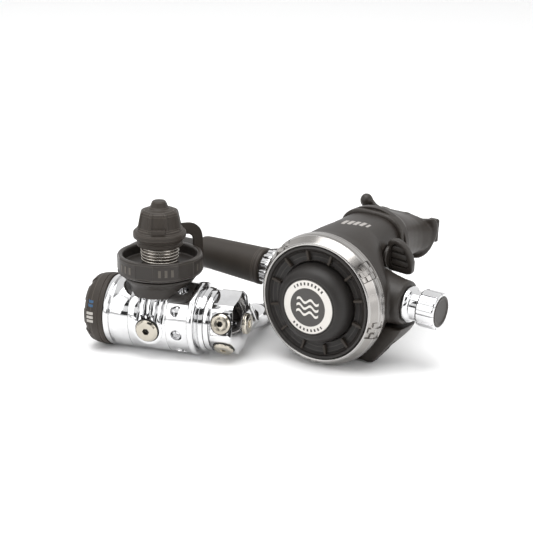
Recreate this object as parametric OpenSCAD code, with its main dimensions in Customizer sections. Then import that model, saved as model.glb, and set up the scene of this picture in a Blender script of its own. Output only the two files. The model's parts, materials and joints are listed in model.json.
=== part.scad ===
// Scuba regulator set: a first stage with a screw-in tank connector, a hose and a second stage,
// lying on the plane Z = 0. X runs from the first stage to the second, Y away from the purge cover.

/* [First stage] */
// Radius of the first stage body
body_r = 20.7; // [18:0.1:23]
// Width of the rubber end cap
end_cap_w = 14; // [10:0.5:16]
// Width of the spring housing
housing_w = 16; // [14:0.5:22]
// Width of the block under the tank connector
block_w = 23.5; // [22:0.5:30]
// Width of the section with the water vents
vent_w = 12.8; // [10:0.2:16]
// Diameter of a water vent
vent_d = 6.8; // [4:0.2:8]
// Number of water vents
vent_count = 9; // [6:1:10]
// Width of the turret
turret_w = 16.6; // [16:0.1:22]
// Distance from the axis to a port face of the turret
turret_flat = 16.6; // [15:0.1:19]
// Angle that the first stage is turned towards the front
first_yaw = 19; // [0:1:40]

/* [Tank connector] */
// Outside diameter of the connector thread
thread_d = 22.9; // [20:0.1:25]
// Pitch of the connector thread
thread_pitch = 1.814; // [1.5:0.001:2.5]
// Radius of the hand wheel
wheel_r = 25; // [24:0.5:30]
// Height of the hand wheel
wheel_h = 11.6; // [10:0.1:16]
// Height of the protective cap above its skirt
cap_h = 26.3; // [25.5:0.1:34]

/* [Second stage] */
// Outer radius of the front ring
ring_r = 39; // [35:0.5:42]
// Radius of the purge cover
cover_r = 33.2; // [30:0.1:34]
// Radius of the emblem plate
emblem_r = 16.3; // [12:0.1:18]
// Number of ribs on the purge cover
rib_count = 12; // [8:1:16]
// Distance from the front ring back to the mouthpiece neck
case_depth = 52; // [50:1:58]
// Length of the barrel from the case centre to the adjusting knob
barrel_reach = 43.7; // [42:0.1:48]
// Radius of the adjusting knob
knob_r = 11; // [9:0.1:13]
// Number of flutes around the adjusting knob
flute_count = 12; // [8:1:16]

/* [Hose] */
// Outside diameter of the hose
hose_d = 11.5; // [11:0.1:12.5]
// Length of the hose protector
sleeve_len = 46; // [35:1:60]

/* [Hidden] */
$fn = 96;

fit = 0.05;      // gap between pieces of one body that screw or push together
gap = 0.3;       // gap between pieces that move past each other
origin_shift = [-59.7, -10.5, 0];
first_at = [-1.2, 0, 0];

// Stations of the first stage along its axis, with the connector at 0
x_block = -12.6;
x_housing = x_block - housing_w;
x_cap = x_housing - end_cap_w;
x_vent = x_block + block_w;
x_flange = x_vent + vent_w;
x_neck = x_flange + 3.7;
x_turret = x_neck + 5.6;
x_nose = x_turret + turret_w;
x_end = x_nose + 3.5;
x_port = x_nose - 6.2;
flange_r = body_r + 0.7;
axis_z = flange_r + 0.1;
port_angles = [76, 136, 196];    // plugged turret ports, from straight up towards the front
hose_port_angle = 256;
high_port_r = 5.5;
low_port_r = 4.7;
high_port_angle = 98;

// Connector heights above the first stage axis
seat_z = 15;
collar_z = 25.1;
wheel_z = 26.2;
wheel_floor = 5.2;
stud_top = 52.5;
thread_start = wheel_z + wheel_floor + 2;
thread_count = floor((stud_top - thread_start - 0.1) / thread_pitch);
skirt_z = 42.6;
thread_r = thread_d / 2;
stud_r = thread_r - thread_pitch * 0.61;
cap_bore_r = thread_r + gap;

// Second stage, with Y backwards from the plane of the front ring
second_at = [91.8, -26.2, 39];
second_turn = [0.4, 3.3, -32.2];
barrel_y = 23.5;
barrel_z = 1.3;
barrel_r = 8.2;
wall = 2.5;
neck_w = 38;
neck_h = 32;
neck_z = 21.5;
lip_z = 18;
waist_y = 31;
waist_z = 14.5;
waist_w = 41.2;
waist_h = 47;
nut_x = -41;
sleeve_x = -52;
cover_y = -6.4;
outlet_r = 8.5;
outlet_tilt = atan2(waist_z - waist_h / 2 + ring_r - 2, waist_y - 13);
button_r = 23.4;
button_y = -14.6;
tee_depth = 37.3;
lever_y = 38;
lever_z = 21;

// Route of the hose, from the protector to the turret
hose_pts = [
    [43.6, 31.9, 44.6], [32.6, 38.9, 45.3], [21.6, 45.8, 46.1], [5, 56.5, 46], [-12, 69, 41],
    [-24.5, 86.5, 31], [-29.5, 109, 19.5], [-23.5, 131, 11.5], [-9.5, 147.5, 7.5], [10, 157, 6.2],
    [33, 158, 6.2], [54, 156, 6.2], [72.5, 159, 6.2], [91, 162.5, 6.2], [112, 158, 6.2],
    [129, 144.5, 6.2], [137, 124, 6.2], [134.5, 103, 6.2], [123.5, 86.5, 6.2], [107, 76, 6.2],
    [91.5, 70.5, 6.2], [76.5, 62.5, 6.2], [65.8, 53, 6.3], [59.4, 42.5, 6.8],
    [56.15, 33.2, 9], [54.9, 29.6, 9.96]
];

function unit(v) = v / norm(v);

// ---------- helpers ----------

module place_first() {
    translate(origin_shift + first_at + [0, 0, axis_z]) rotate([0, 0, -first_yaw]) children();
}

module place_second() {
    translate(origin_shift + second_at) rotate(second_turn) children();
}

// Children drawn up the Z axis are turned to run along X or Y
module along_x(x = 0) {
    translate([x, 0, 0]) rotate([0, 90, 0]) children();
}

module along_y(y = 0) {
    translate([0, y, 0]) rotate([-90, 0, 0]) children();
}

module at_barrel() {
    translate([0, barrel_y, barrel_z]) children();
}

// A radial direction of the first stage: angle from straight up towards the front
module radial(x, angle, r = 0) {
    translate([x, 0, 0]) rotate([angle, 0, 0]) translate([0, 0, r]) children();
}

module ring(r_out, r_in, h) {
    difference() {
        cylinder(h = h, r = r_out);
        translate([0, 0, -1]) cylinder(h = h + 2, r = r_in);
    }
}

module oring(r, wire) {
    rotate_extrude() translate([r, 0]) circle(r = wire, $fn = 24);
}

// A screw plug with a rounded head and a hex socket, its head seated on z = 0
module port_plug(shank_r, head_r, head_h, shank_h, socket) {
    difference() {
        union() {
            translate([0, 0, -shank_h]) cylinder(h = shank_h, r = shank_r - fit);
            rotate_extrude() polygon([
                [0, 0], [head_r, 0], [head_r, head_h * 0.55], [head_r - head_h * 0.45, head_h], [0, head_h]
            ]);
        }
        translate([0, 0, head_h - socket]) cylinder(h = socket + 1, r = socket * 0.72, $fn = 6);
        translate([0, 0, -1.5]) ring(shank_r + 1, shank_r - 1.5, 1.48);
    }
}

// Round wire wound into a helix along Z
module coil_spring(r, wire, h, turns) {
    steps = turns * 12;
    sides = 6;
    pitch = (h - 2 * wire) / turns;
    pts = [for (i = [0:steps], k = [0:sides - 1])
        let (a = i * 30, b = k * 360 / sides, q = r + wire * cos(b))
        [q * cos(a), q * sin(a), wire + pitch * i / 12 + wire * sin(b)]];
    sides_faces = [for (i = [0:steps - 1], k = [0:sides - 1])
        let (a = i * sides + k, b = i * sides + (k + 1) % sides)
        [a, b, b + sides, a + sides]];
    start = [[for (k = [sides - 1:-1:0]) k]];
    finish = [[for (k = [0:sides - 1]) steps * sides + k]];
    polyhedron(points = pts, faces = concat(sides_faces, start, finish), convexity = 8);
}

// A plain tube swept along a route
module swept_tube(route, r, sides = 10) {
    n = len(route);
    pts = [for (i = [0:n - 1], k = [0:sides - 1])
        let (
            t = unit(route[min(i + 1, n - 1)] - route[max(i - 1, 0)]),
            u = unit(cross([0, 0, 1], t)),
            v = cross(t, u),
            a = k * 360 / sides
        )
        route[i] + r * (cos(a) * u + sin(a) * v)];
    walls = [for (i = [0:n - 2], k = [0:sides - 1])
        let (a = i * sides + k, b = i * sides + (k + 1) % sides)
        [a, a + sides, b + sides, b]];
    start = [[for (k = [0:sides - 1]) k]];
    finish = [[for (k = [sides - 1:-1:0]) (n - 1) * sides + k]];
    polyhedron(points = pts, faces = concat(walls, start, finish), convexity = 8);
}

// ---------- first stage ----------

module first_body() {
    color("silver") place_first() difference() {
        union() {
            along_x(x_block) cylinder(h = x_flange - x_block, r = body_r);
            along_x(x_flange) rotate_extrude() polygon([
                [0, 0], [flange_r - 0.6, 0], [flange_r, 0.6], [flange_r, 3.1], [flange_r - 0.6, 3.7],
                [0, 3.7]
            ]);
            along_x(x_neck) cylinder(h = 2, r = body_r - 3.2);
            along_x(x_neck + 2) rotate_extrude() polygon([
                [0, 0], [body_r - 2.4, 0], [body_r - 1.8, 0.7], [body_r - 2.4, 3.3 - gap], [0, 3.3 - gap]
            ]);
            for (side = [-1, 1]) radial(0, side * high_port_angle, 0) cylinder(h = body_r + 0.8, r = 9.2);
            intersection() {
                cylinder(h = collar_z - 4, r = 16);
                translate([x_block, -20, 0]) cube([40, 40, 40]);
            }
        }
        // middle chamber, high-pressure chamber and the passage to the turret
        along_x(x_block - 1) cylinder(h = 5.6 + 1, r = 13);
        along_x(-8.5) cylinder(h = x_neck + 8.5 - 5, r = 7);
        for (side = [-1, 1]) translate([0, side * 10.5, 0]) {
            along_x(x_block) cylinder(h = x_neck + 7 - x_block, r = 1.6);
        }
        along_x(x_neck - 8) cylinder(h = 20, r = 5.2);
        // connector bore and high-pressure ports
        cylinder(h = 40, r = 6);
        translate([0, 0, seat_z]) cylinder(h = 12, r = 8.4);
        for (side = [-1, 1]) radial(0, side * high_port_angle, 4) cylinder(h = 30, r = high_port_r);
        // cooling slots with fins between them
        for (i = [0:4]) radial(x_block + 6.8 + i * 3.7, 66, body_r - 2.2) {
            translate([-1.25, -7, 0]) cube([2.5, 14, 6]);
        }
        // water vents
        for (i = [0:vent_count - 1])
            radial((x_vent + x_flange) / 2, 63.5 + i * 360 / vent_count, body_r - 6) {
            cylinder(h = 10, r = vent_d / 2);
        }
        // shallow seam lines
        for (x = [x_vent - 0.2, x_block - 0.2]) along_x(x) ring(body_r + 3, body_r - 0.35, 0.4);
    }
}

module spring_housing() {
    color("silver") place_first() difference() {
        along_x(x_housing) rotate_extrude() polygon([
            [0, 0], [body_r - 0.2, 0], [body_r + 0.1, 0.4], [body_r + 0.1, 3.4], [body_r - 1.2, 3.6],
            [body_r - 1.2, 5.2], [body_r, 5.6], [body_r, housing_w - fit], [0, housing_w - fit]
        ]);
        along_x(x_housing + 3) cylinder(h = housing_w, r = 13);
        along_x(x_block - 1.4) cylinder(h = 3, r = 18.2);
        along_x(x_housing - 1) cylinder(h = 8, r = 9);
    }
}

module end_cap() {
    color("#3d3935") place_first() difference() {
        along_x(x_cap) rotate_extrude() polygon([
            [0, 0], [body_r - 5, 0], [body_r - 2.2, 1.2], [body_r - 0.4, 4], [body_r + 0.4, 7],
            [body_r + 0.7, end_cap_w - 1.5], [body_r + 0.3, end_cap_w - fit], [0, end_cap_w - fit]
        ]);
        along_x(x_cap + 3) cylinder(h = end_cap_w, r = 12);
        for (i = [0:7]) radial(x_cap - 1, 22.5 + i * 45, body_r + 3.2) along_x(0) cylinder(h = 7, r = 5.5);
        along_x(x_cap - 1) ring(9, 7.5, 1.6);
    }
}

module pressure_adjuster() {
    color("#b39a5c") place_first() along_x(x_housing - 4) difference() {
        cylinder(h = 9, r = 9 - fit);
        translate([0, 0, -1]) cylinder(h = 5, r = 4.6, $fn = 6);
    }
}

module main_spring() {
    color("gray") place_first() along_x(x_housing + 5.1) {
        coil_spring(7, 0.9, housing_w - 5.1 - 3.1, 2.5);
    }
}

module spring_pad() {
    color("#b39a5c") place_first() along_x(x_block - 3) {
        cylinder(h = 1.6, r = 9);
    }
}

module first_diaphragm() {
    color("#2f2b28") place_first() along_x(x_block - 1.3) cylinder(h = 1.25, r = 18.1);
}

module push_pin() {
    color("gray") place_first() along_x(x_block) {
        cylinder(h = 1.2, r = 6);
        cylinder(h = 9.5, r = 1);
    }
}

module seat_crown() {
    color("#b39a5c") place_first() along_x(-6.9) difference() {
        cylinder(h = 3.6, r = 7 - fit);
        translate([0, 0, -1]) cylinder(h = 6, r = 1.6);
    }
}

module main_poppet() {
    color("gray") place_first() along_x(-3.05) {
        cylinder(h = 2.4, r = 3.6);
        translate([0, 0, 2.4]) cylinder(h = 9, r = 1.8);
    }
}

module poppet_spring() {
    color("gray") place_first() along_x(-0.6) coil_spring(2.7, 0.35, 9.9, 6);
}

module poppet_plug() {
    color("#b39a5c") place_first() along_x(9.4) difference() {
        cylinder(h = 8, r = 7 - fit);
        translate([0, 0, -1]) cylinder(h = 7, r = 2);
    }
}

module high_port_plugs() {
    color("#cfc7b0") place_first() for (side = [-1, 1]) radial(0, side * high_port_angle, body_r + 0.8) {
        port_plug(high_port_r, 6.8, 2.6, 9, 3);
    }
}

module high_port_orings() {
    color("#2f2b28") place_first() for (side = [-1, 1])
        radial(0, side * high_port_angle, body_r + 0.8 - 0.76) {
        oring(high_port_r - 0.76, 0.7);
    }
}

// ---------- tank connector ----------

module din_stud() {
    color("#8d8a84") place_first() difference() {
        union() {
            translate([0, 0, seat_z + 0.05]) cylinder(h = 11, r = 8.4 - fit);
            translate([0, 0, seat_z + 11]) cylinder(h = stud_top - seat_z - 11, r = stud_r);
            for (i = [0:thread_count - 1]) translate([0, 0, thread_start + i * thread_pitch]) {
                rotate_extrude() polygon([
                    [stud_r - 1, 0], [stud_r, 0], [thread_r, 0.75], [thread_r, 1.05],
                    [stud_r, thread_pitch - 0.02], [stud_r - 1, thread_pitch - 0.02]
                ]);
            }
        }
        translate([0, 0, seat_z - 1]) cylinder(h = 60, r = 3.6);
        translate([0, 0, stud_top - 7]) cylinder(h = 9, r = 5.6);
        translate([0, 0, stud_top - 1.7]) ring(8.6, 6.6, 3);
    }
}

module din_oring() {
    color("#2f2b28") place_first() translate([0, 0, stud_top - 0.8]) oring(7.6, 0.9);
}

module inlet_filter() {
    color("#a8884a") place_first() translate([0, 0, stud_top - 7]) cylinder(h = 5, r1 = 5.4, r2 = 3.4);
}

module filter_clip() {
    color("gray") place_first() translate([0, 0, stud_top - 1.9]) ring(5.6 - fit, 4, 0.8);
}

module din_collar() {
    color("#37332f") place_first() difference() {
        rotate_extrude() polygon([
            [16 + fit, 14.5], [17.7, 14.5], [17.7, 19.5], [21.6, collar_z - 0.6], [21.6, collar_z],
            [9, collar_z],
            [9, collar_z - 3.9], [16 + fit, collar_z - 3.9]
        ]);
        along_x(-60) cylinder(h = 120, r = body_r + fit);
    }
}

module din_wheel() {
    color("#37332f") place_first() difference() {
        translate([0, 0, wheel_z]) rotate_extrude() polygon([
            [stud_r + gap, 0], [wheel_r - 1.4, 0], [wheel_r, 1.2], [wheel_r, wheel_h - 1.2],
            [wheel_r - 1, wheel_h],
            [wheel_r - 2.8, wheel_h], [wheel_r - 3.4, wheel_h - 1], [wheel_r - 3.4, wheel_floor],
            [stud_r + gap, wheel_floor]
        ]);
        // flat panels between the grips, and flutes under the rim
        for (i = [0:5]) rotate([0, 0, 30 + i * 60]) translate([wheel_r - 0.9, -5, wheel_z + 2]) {
            cube([3, 10, wheel_h]);
        }
    }
}

module din_cap() {
    flat_r = thread_r - 0.2;
    color("#3d3935") place_first() translate([0, 0, skirt_z]) difference() {
        union() {
            rotate_extrude() polygon([
                [0, 0], [13.4, 0], [13.4, 4.2], [15.4, 4.8], [15.4, 8.2], [12.9, 9], [12.7, 11.2], [0, 11.2]
            ]);
            translate([0, 0, 11]) cylinder(h = 10.8, r1 = 13.4, r2 = flat_r + 0.6, $fn = 8);
            translate([0, 0, 21.7]) cylinder(h = 2.6, r1 = flat_r + 0.5, r2 = 5.6, $fn = 8);
            translate([0, 0, 24]) rotate_extrude() polygon([
                [0, 0], [5.2, 0], [3.9, cap_h - 25], [2.8, cap_h - 24], [0, cap_h - 24]
            ]);
            translate([-4.6, -15.6, 8]) cube([9.2, 6, 2.6]);
        }
        translate([0, 0, -1]) cylinder(h = 12, r = cap_bore_r);
    }
}

// The strap lies in the upright plane through the connector axis that faces back and right
module cap_strap() {
    r_in = 26.2;
    color("#37332f") place_first() {
        translate([0, 0, collar_z + fit]) ring(20.5, 9.5, 0.7);
        rotate([0, 0, 57]) rotate([90, 0, 0]) translate([0, 0, -3.5]) linear_extrude(7) polygon(concat(
            [[20.3, collar_z + fit], [r_in + 2, collar_z + fit], [r_in + 2, 41.5]],
            [for (a = [0:10:90]) [r_in - 3.6 + 5.6 * cos(a), 41.5 + 6.5 * sin(a)]],
            [[15.5, 50.2], [15.5, 47.9]],
            [for (a = [90:-15:0]) [r_in - 4 + 3.5 * cos(a), 41.2 + 4.4 * sin(a)]],
            [[r_in - 0.5, 26.2], [r_in - 0.9, collar_z + 0.8], [20.3, collar_z + 0.8]]
        ));
    }
}

// ---------- turret ----------

module turret() {
    color("silver") place_first() difference() {
        union() {
            along_x(x_turret - 0.3) cylinder(h = 3, r = body_r - 2.9);
            along_x(x_turret) cylinder(h = 5, r = turret_flat - 0.6);
            intersection() {
                along_x(x_turret + 3.6) rotate_extrude() polygon([
                    [0, 0], [turret_flat + 1.2, 0], [turret_flat + 1.8, 0.8],
                    [turret_flat + 1.8, turret_w - 3.6],
                    [9, turret_w - 0.1], [0, turret_w - 0.1]
                ]);
                // six port faces
                radial(0, port_angles[0] - 30) along_x(x_turret) {
                    cylinder(h = turret_w + 5, r = turret_flat / cos(30), $fn = 6);
                }
            }
        }
        along_x(x_turret - 1) cylinder(h = turret_w + 6, r = 5.2);
        for (a = concat(port_angles, [hose_port_angle]))
            radial(x_port, a, 4) cylinder(h = 20, r = low_port_r);
        // pin hole in the nose
        radial(x_nose + 1.2, 72, 9) cylinder(h = 8, r = 0.8, $fn = 24);
    }
}

module turret_bolt() {
    color("#cfc7b0") place_first() difference() {
        union() {
            along_x(x_neck - 8) cylinder(h = x_end - x_neck + 8.2, r = 5.2 - fit);
            along_x(x_end + fit) rotate_extrude() polygon([[0, 0], [6.2, 0], [6.2, 1], [5.4, 1.8],
            [0, 1.8]]);
        }
        along_x(x_neck - 9) cylinder(h = x_port - x_neck + 12, r = 3);
        for (a = [16:60:316]) radial(x_port, a, 2) cylinder(h = 12, r = 1.6, $fn = 24);
        along_x(x_end - 1.2) cylinder(h = 6, r = 2.9, $fn = 6);
    }
}

module turret_oring() {
    color("#2f2b28") place_first() along_x(x_turret - 0.45) oring(9, 0.14);
}

module low_port_plugs() {
    color("#cfc7b0") place_first() for (a = port_angles) radial(x_port, a, turret_flat) {
        port_plug(low_port_r, 5.9, 2.2, 8, 2.6);
    }
}

module low_port_orings() {
    color("#2f2b28") place_first() for (a = port_angles) radial(x_port, a, turret_flat - 0.76) {
        oring(low_port_r - 0.76, 0.7);
    }
}

// ---------- hose ----------

module hose_inlet_fitting() {
    color("silver") place_first() radial(x_port, hose_port_angle, turret_flat) difference() {
        union() {
            translate([0, 0, -7]) cylinder(h = 7, r = low_port_r - fit);
            cylinder(h = 2, r = 7.6);
            translate([0, 0, 2]) cylinder(h = 7, r = 8.8, $fn = 6);
            translate([0, 0, 9]) cylinder(h = 2, r = 6.4);
        }
        translate([0, 0, -8]) cylinder(h = 40, r = 2.4);
    }
}

module hose_inlet_ferrule() {
    color("silver") place_first() radial(x_port, hose_port_angle, turret_flat + 11) difference() {
        union() {
            rotate_extrude() polygon([[0, 0], [7, 0], [7.6, 1], [7.6, 22], [7, 23.5], [0, 23.5]]);
            translate([0, 0, 23]) cylinder(h = 1, r = 6.4);
        }
        translate([0, 0, -1]) cylinder(h = 40, r = 2.4);
        translate([0, 0, 20]) cylinder(h = 10, r = hose_d / 2 + fit);
    }
}

module hose() {
    color("#2f2b28") translate(origin_shift) swept_tube(hose_pts, hose_d / 2);
}

module hose_sleeve() {
    color("#3d3935") place_second() at_barrel() along_x(sleeve_x) rotate([0, 180, 0]) difference() {
        rotate_extrude() polygon([
            [0, 0], [10, 0], [11.2, 0.8], [11.2, 3], [10.9, 4], [9.4, sleeve_len - 2], [8.4, sleeve_len],
            [0, sleeve_len]
        ]);
        translate([0, 0, -1]) cylinder(h = sleeve_len + 2, r = hose_d / 2 + fit);
        translate([0, 0, -1]) cylinder(h = 27, r = 7.8);
    }
}

module hose_outlet_ferrule() {
    color("silver") place_second() at_barrel() along_x(nut_x - 4) rotate([0, 180, 0]) difference() {
        cylinder(h = 27, r = 7.5);
        translate([0, 0, -1]) cylinder(h = 40, r = 3);
    }
}

module hose_nut() {
    color("silver") place_second() at_barrel() along_x(nut_x) rotate([0, 180, 0]) difference() {
        union() {
            cylinder(h = 10.6, r = 9.6);
            for (i = [0:11])
                rotate([0, 0, i * 30]) translate([9.2, 0, 1]) cylinder(h = 8.6, r = 1.6, $fn = 24);
        }
        translate([0, 0, 4]) cylinder(h = 10, r = 7.6);
        translate([0, 0, -1]) cylinder(h = 10, r = 5.4);
    }
}

module swivel_oring() {
    color("#2f2b28") place_second() at_barrel() along_x(nut_x - 2.4) oring(4.9, 0.45);
}

// ---------- second stage ----------

module neck_section(y, grow) {
    translate([0, y, neck_z]) rotate([-90, 0, 0]) scale([neck_w / 2 + grow, neck_h / 2 + grow, 1]) {
        cylinder(h = 0.1, r = 1, $fn = 48);
    }
}

// Waist of the case, narrower than a straight line from the ring to the neck
module waist_section(grow) {
    translate([0, waist_y, waist_z])
        rotate([-90, 0, 0]) scale([waist_w / 2 + grow, waist_h / 2 + grow, 1]) {
        cylinder(h = 0.1, r = 1, $fn = 48);
    }
}

module case_solid(grow) {
    hull() {
        along_y(0.5 - grow) cylinder(h = 12.5, r = ring_r - 2 + grow, $fn = 64);
        waist_section(grow);
    }
    hull() {
        waist_section(grow);
        neck_section(case_depth + grow, grow);
    }
}

// Z points out of the sloping wall under the waist
module at_outlet() {
    translate([0, (13 + waist_y) / 2, (waist_z - waist_h / 2 - ring_r + 2) / 2])
        rotate([180 + outlet_tilt, 0, 0]) {
        children();
    }
}

module case() {
    color("#3d3935") place_second() difference() {
        union() {
            case_solid(0);
            translate([0, case_depth, neck_z]) rotate([-90, 0, 0]) scale([neck_w / 2, neck_h / 2, 1]) {
                cylinder(h = 10, r = 1);
            }
            at_barrel() along_x(-barrel_reach + 3) cylinder(h = 2 * barrel_reach - 3.4, r = 13);
            translate([0, lever_y, lever_z]) along_x(10) cylinder(h = 9.6, r = 7);
        }
        case_solid(-wall);
        along_y(-5) cylinder(h = 12, r = ring_r - 5);
        translate([0, case_depth - 4, neck_z]) rotate([-90, 0, 0]) {
            scale([neck_w / 2 - wall, neck_h / 2 - wall, 1]) cylinder(h = 30, r = 1);
        }
        at_barrel() along_x(-70) cylinder(h = 140, r = barrel_r + fit);
        translate([0, lever_y, lever_z]) along_x(5) cylinder(h = 20, r = 3 + gap);
        // outlet to the exhaust valve, low at the back
        at_outlet() translate([0, 0, -7]) cylinder(h = 14, r = outlet_r - 1.5);
    }
}

module front_ring() {
    color("#c9ccd0") place_second() difference() {
        along_y(cover_y) rotate_extrude() polygon([
            [cover_r + gap, 0], [cover_r + 1.4, -0.6], [cover_r + 3, 0.6], [ring_r - 0.6, 5.6], [ring_r, 7],
            [ring_r, 11], [ring_r - 0.5, 11.6], [ring_r - 2 + fit, 11.6], [ring_r - 2 + fit, 6.2],
            [cover_r + gap, 6.2]
        ]);
        // groups of grip notches
        for (group = [45, 135, -20, -90]) for (i = [-1, 0, 1]) {
            rotate([0, -group - i * 7, 0]) translate([cover_r + 3.2 + abs(i), cover_y + 1.2, -1.6]) {
                cube([3.4, 3, 3.2]);
            }
        }
    }
}

module purge_cover() {
    color("#3d3935") place_second() {
        along_y(cover_y) rotate_extrude() polygon([
            [button_r + gap, 5.4], [28.4, 4.2], [30.6, 0.4], [31.2, -0.6], [32.6, -0.8], [cover_r, 0],
            [cover_r, 6.25], [ring_r - 2 - gap, 6.25], [ring_r - 2 - gap, 6.85], [button_r + gap, 6.85]
        ]);
        for (i = [0:rib_count - 1]) rotate([0, (i + 0.5) * 360 / rib_count, 0]) {
            translate([button_r + 1.4, cover_y + 1.4, -0.8]) cube([30.6 - button_r - 1.4, 3.8, 1.6]);
        }
    }
}

module purge_button() {
    color("#3d3935") place_second() along_y(button_y) difference() {
        rotate_extrude() polygon([
            [0, 0.6], [emblem_r + 0.2, 0.6], [emblem_r + 0.4, 0], [emblem_r + 1, 0], [button_r - 4.4, 1.1],
            [button_r - 2, 4.2], [button_r - 0.6, 8], [button_r, 11.4], [button_r, 13.6], [0, 13.6]
        ]);
        translate([0, 0, 3]) cylinder(h = 20, r = 16);
    }
}

module emblem() {
    color("#e8e4e0") place_second() along_y(button_y) {
        rotate_extrude() polygon([[0, -1], [10, -0.75], [emblem_r, 0], [emblem_r, 0.55], [0, 0.55]]);
    }
}

module button_spring() {
    color("gray") place_second() along_y(button_y + 3.1) coil_spring(9, 0.5, 12.4, 4);
}

module diaphragm() {
    color("#5a5550") place_second() along_y(0.8) rotate_extrude() polygon([
        [18.3, 1], [24, 1.6], [28, 4], [31, 4.2], [32, 0.4], [ring_r - 5 - gap, 0], [ring_r - 5 - gap, 1.4],
        [33, 1.6], [31.6, 5.4], [27.4, 5.2], [23.6, 2.8], [18.3, 2]
    ]);
}

module diaphragm_disc() {
    color("#8d8a84") place_second() along_y(1) cylinder(h = 1.8, r = 18);
}

module valve_barrel() {
    color("silver") place_second() at_barrel() difference() {
        union() {
            along_x(-barrel_reach + 3.2) cylinder(h = 2 * barrel_reach - 3.4, r = barrel_r);
            along_x(nut_x + 0.1) cylinder(h = 3, r = barrel_r);
            along_x(nut_x - 3.9) cylinder(h = 4.1, r = 5.3);
        }
        along_x(-30) cylinder(h = 100, r = 6.4);
        along_x(-50) cylinder(h = 30, r = 3);
        along_x(nut_x - 2.9) ring(6, 4.4, 1);
        // lever window facing the diaphragm, with a shallow slot under its arm, and air outlet at the back
        translate([1, -12, -4]) cube([9, 10.5, 8]);
        translate([-20, -12, -4]) cube([22, 6, 8]);
        translate([-16, 4, -3.5]) cube([14, 12, 7]);
    }
}

module barrel_ring() {
    color("silver") place_second() at_barrel() along_x(barrel_reach) difference() {
        rotate_extrude() polygon([
            [0, 0], [10.4, 0], [10.6, 0.8], [10.6, 2.4], [9.6, 3.6], [8.6, 4.2], [8.6, 8.4], [0, 8.4]
        ]);
        translate([0, 0, -1]) cylinder(h = 20, r = 4.2);
    }
}

module demand_lever() {
    color("gray") place_second() at_barrel() {
        translate([5, -9.8, -3.2]) cube([1.2, 7.6, 6.4]);
        translate([-16, -10.8, -3.2]) cube([22.2, 1.2, 6.4]);
        translate([-16, -19, -3.2]) cube([1.2, 9, 6.4]);
        translate([-18, -19.8, -3.2]) cube([6, 1.2, 6.4]);
        translate([5.6, -9.2, -3.2]) cylinder(h = 6.4, r = 1.4, $fn = 32);
    }
}

module demand_poppet() {
    color("#8d8a84") place_second() at_barrel() along_x(-25.5) {
        cylinder(h = 4, r = 4.6);
        translate([0, 0, 4]) cylinder(h = 38, r = 1.8);
        translate([0, 0, 31.85]) cylinder(h = 1.6, r = 4.6);
    }
}

module demand_spring() {
    color("gray") place_second() at_barrel() along_x(8) coil_spring(3.4, 0.4, 16.9, 7);
}

module valve_seat() {
    color("#b39a5c") place_second() at_barrel() along_x(-29.9) difference() {
        cylinder(h = 4.3, r = 6.4 - fit);
        translate([0, 0, -1]) cylinder(h = 8, r = 2.2);
    }
}

module adjust_screw() {
    color("gray") place_second() at_barrel() along_x(25) difference() {
        union() {
            cylinder(h = 8, r = 6.4 - fit);
            translate([0, 0, 8]) cylinder(h = 24, r = 3.8);
        }
        translate([0, 0, -1]) cylinder(h = 20, r = 2.2);
    }
}

module adjust_knob() {
    x0 = barrel_reach + 8.7;
    len_knob = 11.8;
    color("silver") place_second() at_barrel() along_x(x0) difference() {
        rotate_extrude() polygon([
            [0, 0], [knob_r - 1, 0], [knob_r, 1], [knob_r, len_knob - 0.8], [knob_r - 0.8, len_knob],
            [9, len_knob], [9, len_knob - 0.8], [0, len_knob - 0.8]
        ]);
        translate([0, 0, -1]) cylinder(h = 7, r = 3.8 + fit);
        for (i = [0:flute_count - 1]) rotate([0, 0, i * 360 / flute_count]) {
            translate([knob_r + 0.35, 0, -1]) cylinder(h = 20, r = 0.9, $fn = 24);
        }
    }
}

module knob_badge() {
    color("#2f2b28") place_second() at_barrel() along_x(barrel_reach + 8.7 + 11.05) {
        rotate_extrude() polygon([[0, 0], [8.9, 0], [8.9, 0.9], [7, 1.3], [0, 1.5]]);
    }
}

module venturi_lever() {
    color("#3d3935") place_second() translate([0, lever_y, lever_z]) {
        along_x(20.9) cylinder(h = 2.2, r = 6.2);
        along_x(12) cylinder(h = 9, r = 3);
        translate([0, 2.4, 0]) rotate([90, 0, 0]) linear_extrude(4.8) polygon([
            [21.2, -6.4], [22.8, -7.6], [34.4, -8.1], [37.2, -7.2], [37.8, -1], [36, 4], [33.2, 7.6],
            [28, 11],
            [24, 11.2], [21.2, 9]
        ]);
    }
}

module venturi_vane() {
    color("#8d8a84") place_second() translate([0, lever_y, lever_z]) {
        along_x(9.6) cylinder(h = 2.3, r = 3);
        translate([-8, -1, -6]) cube([18, 1.6, 12]);
    }
}

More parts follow.
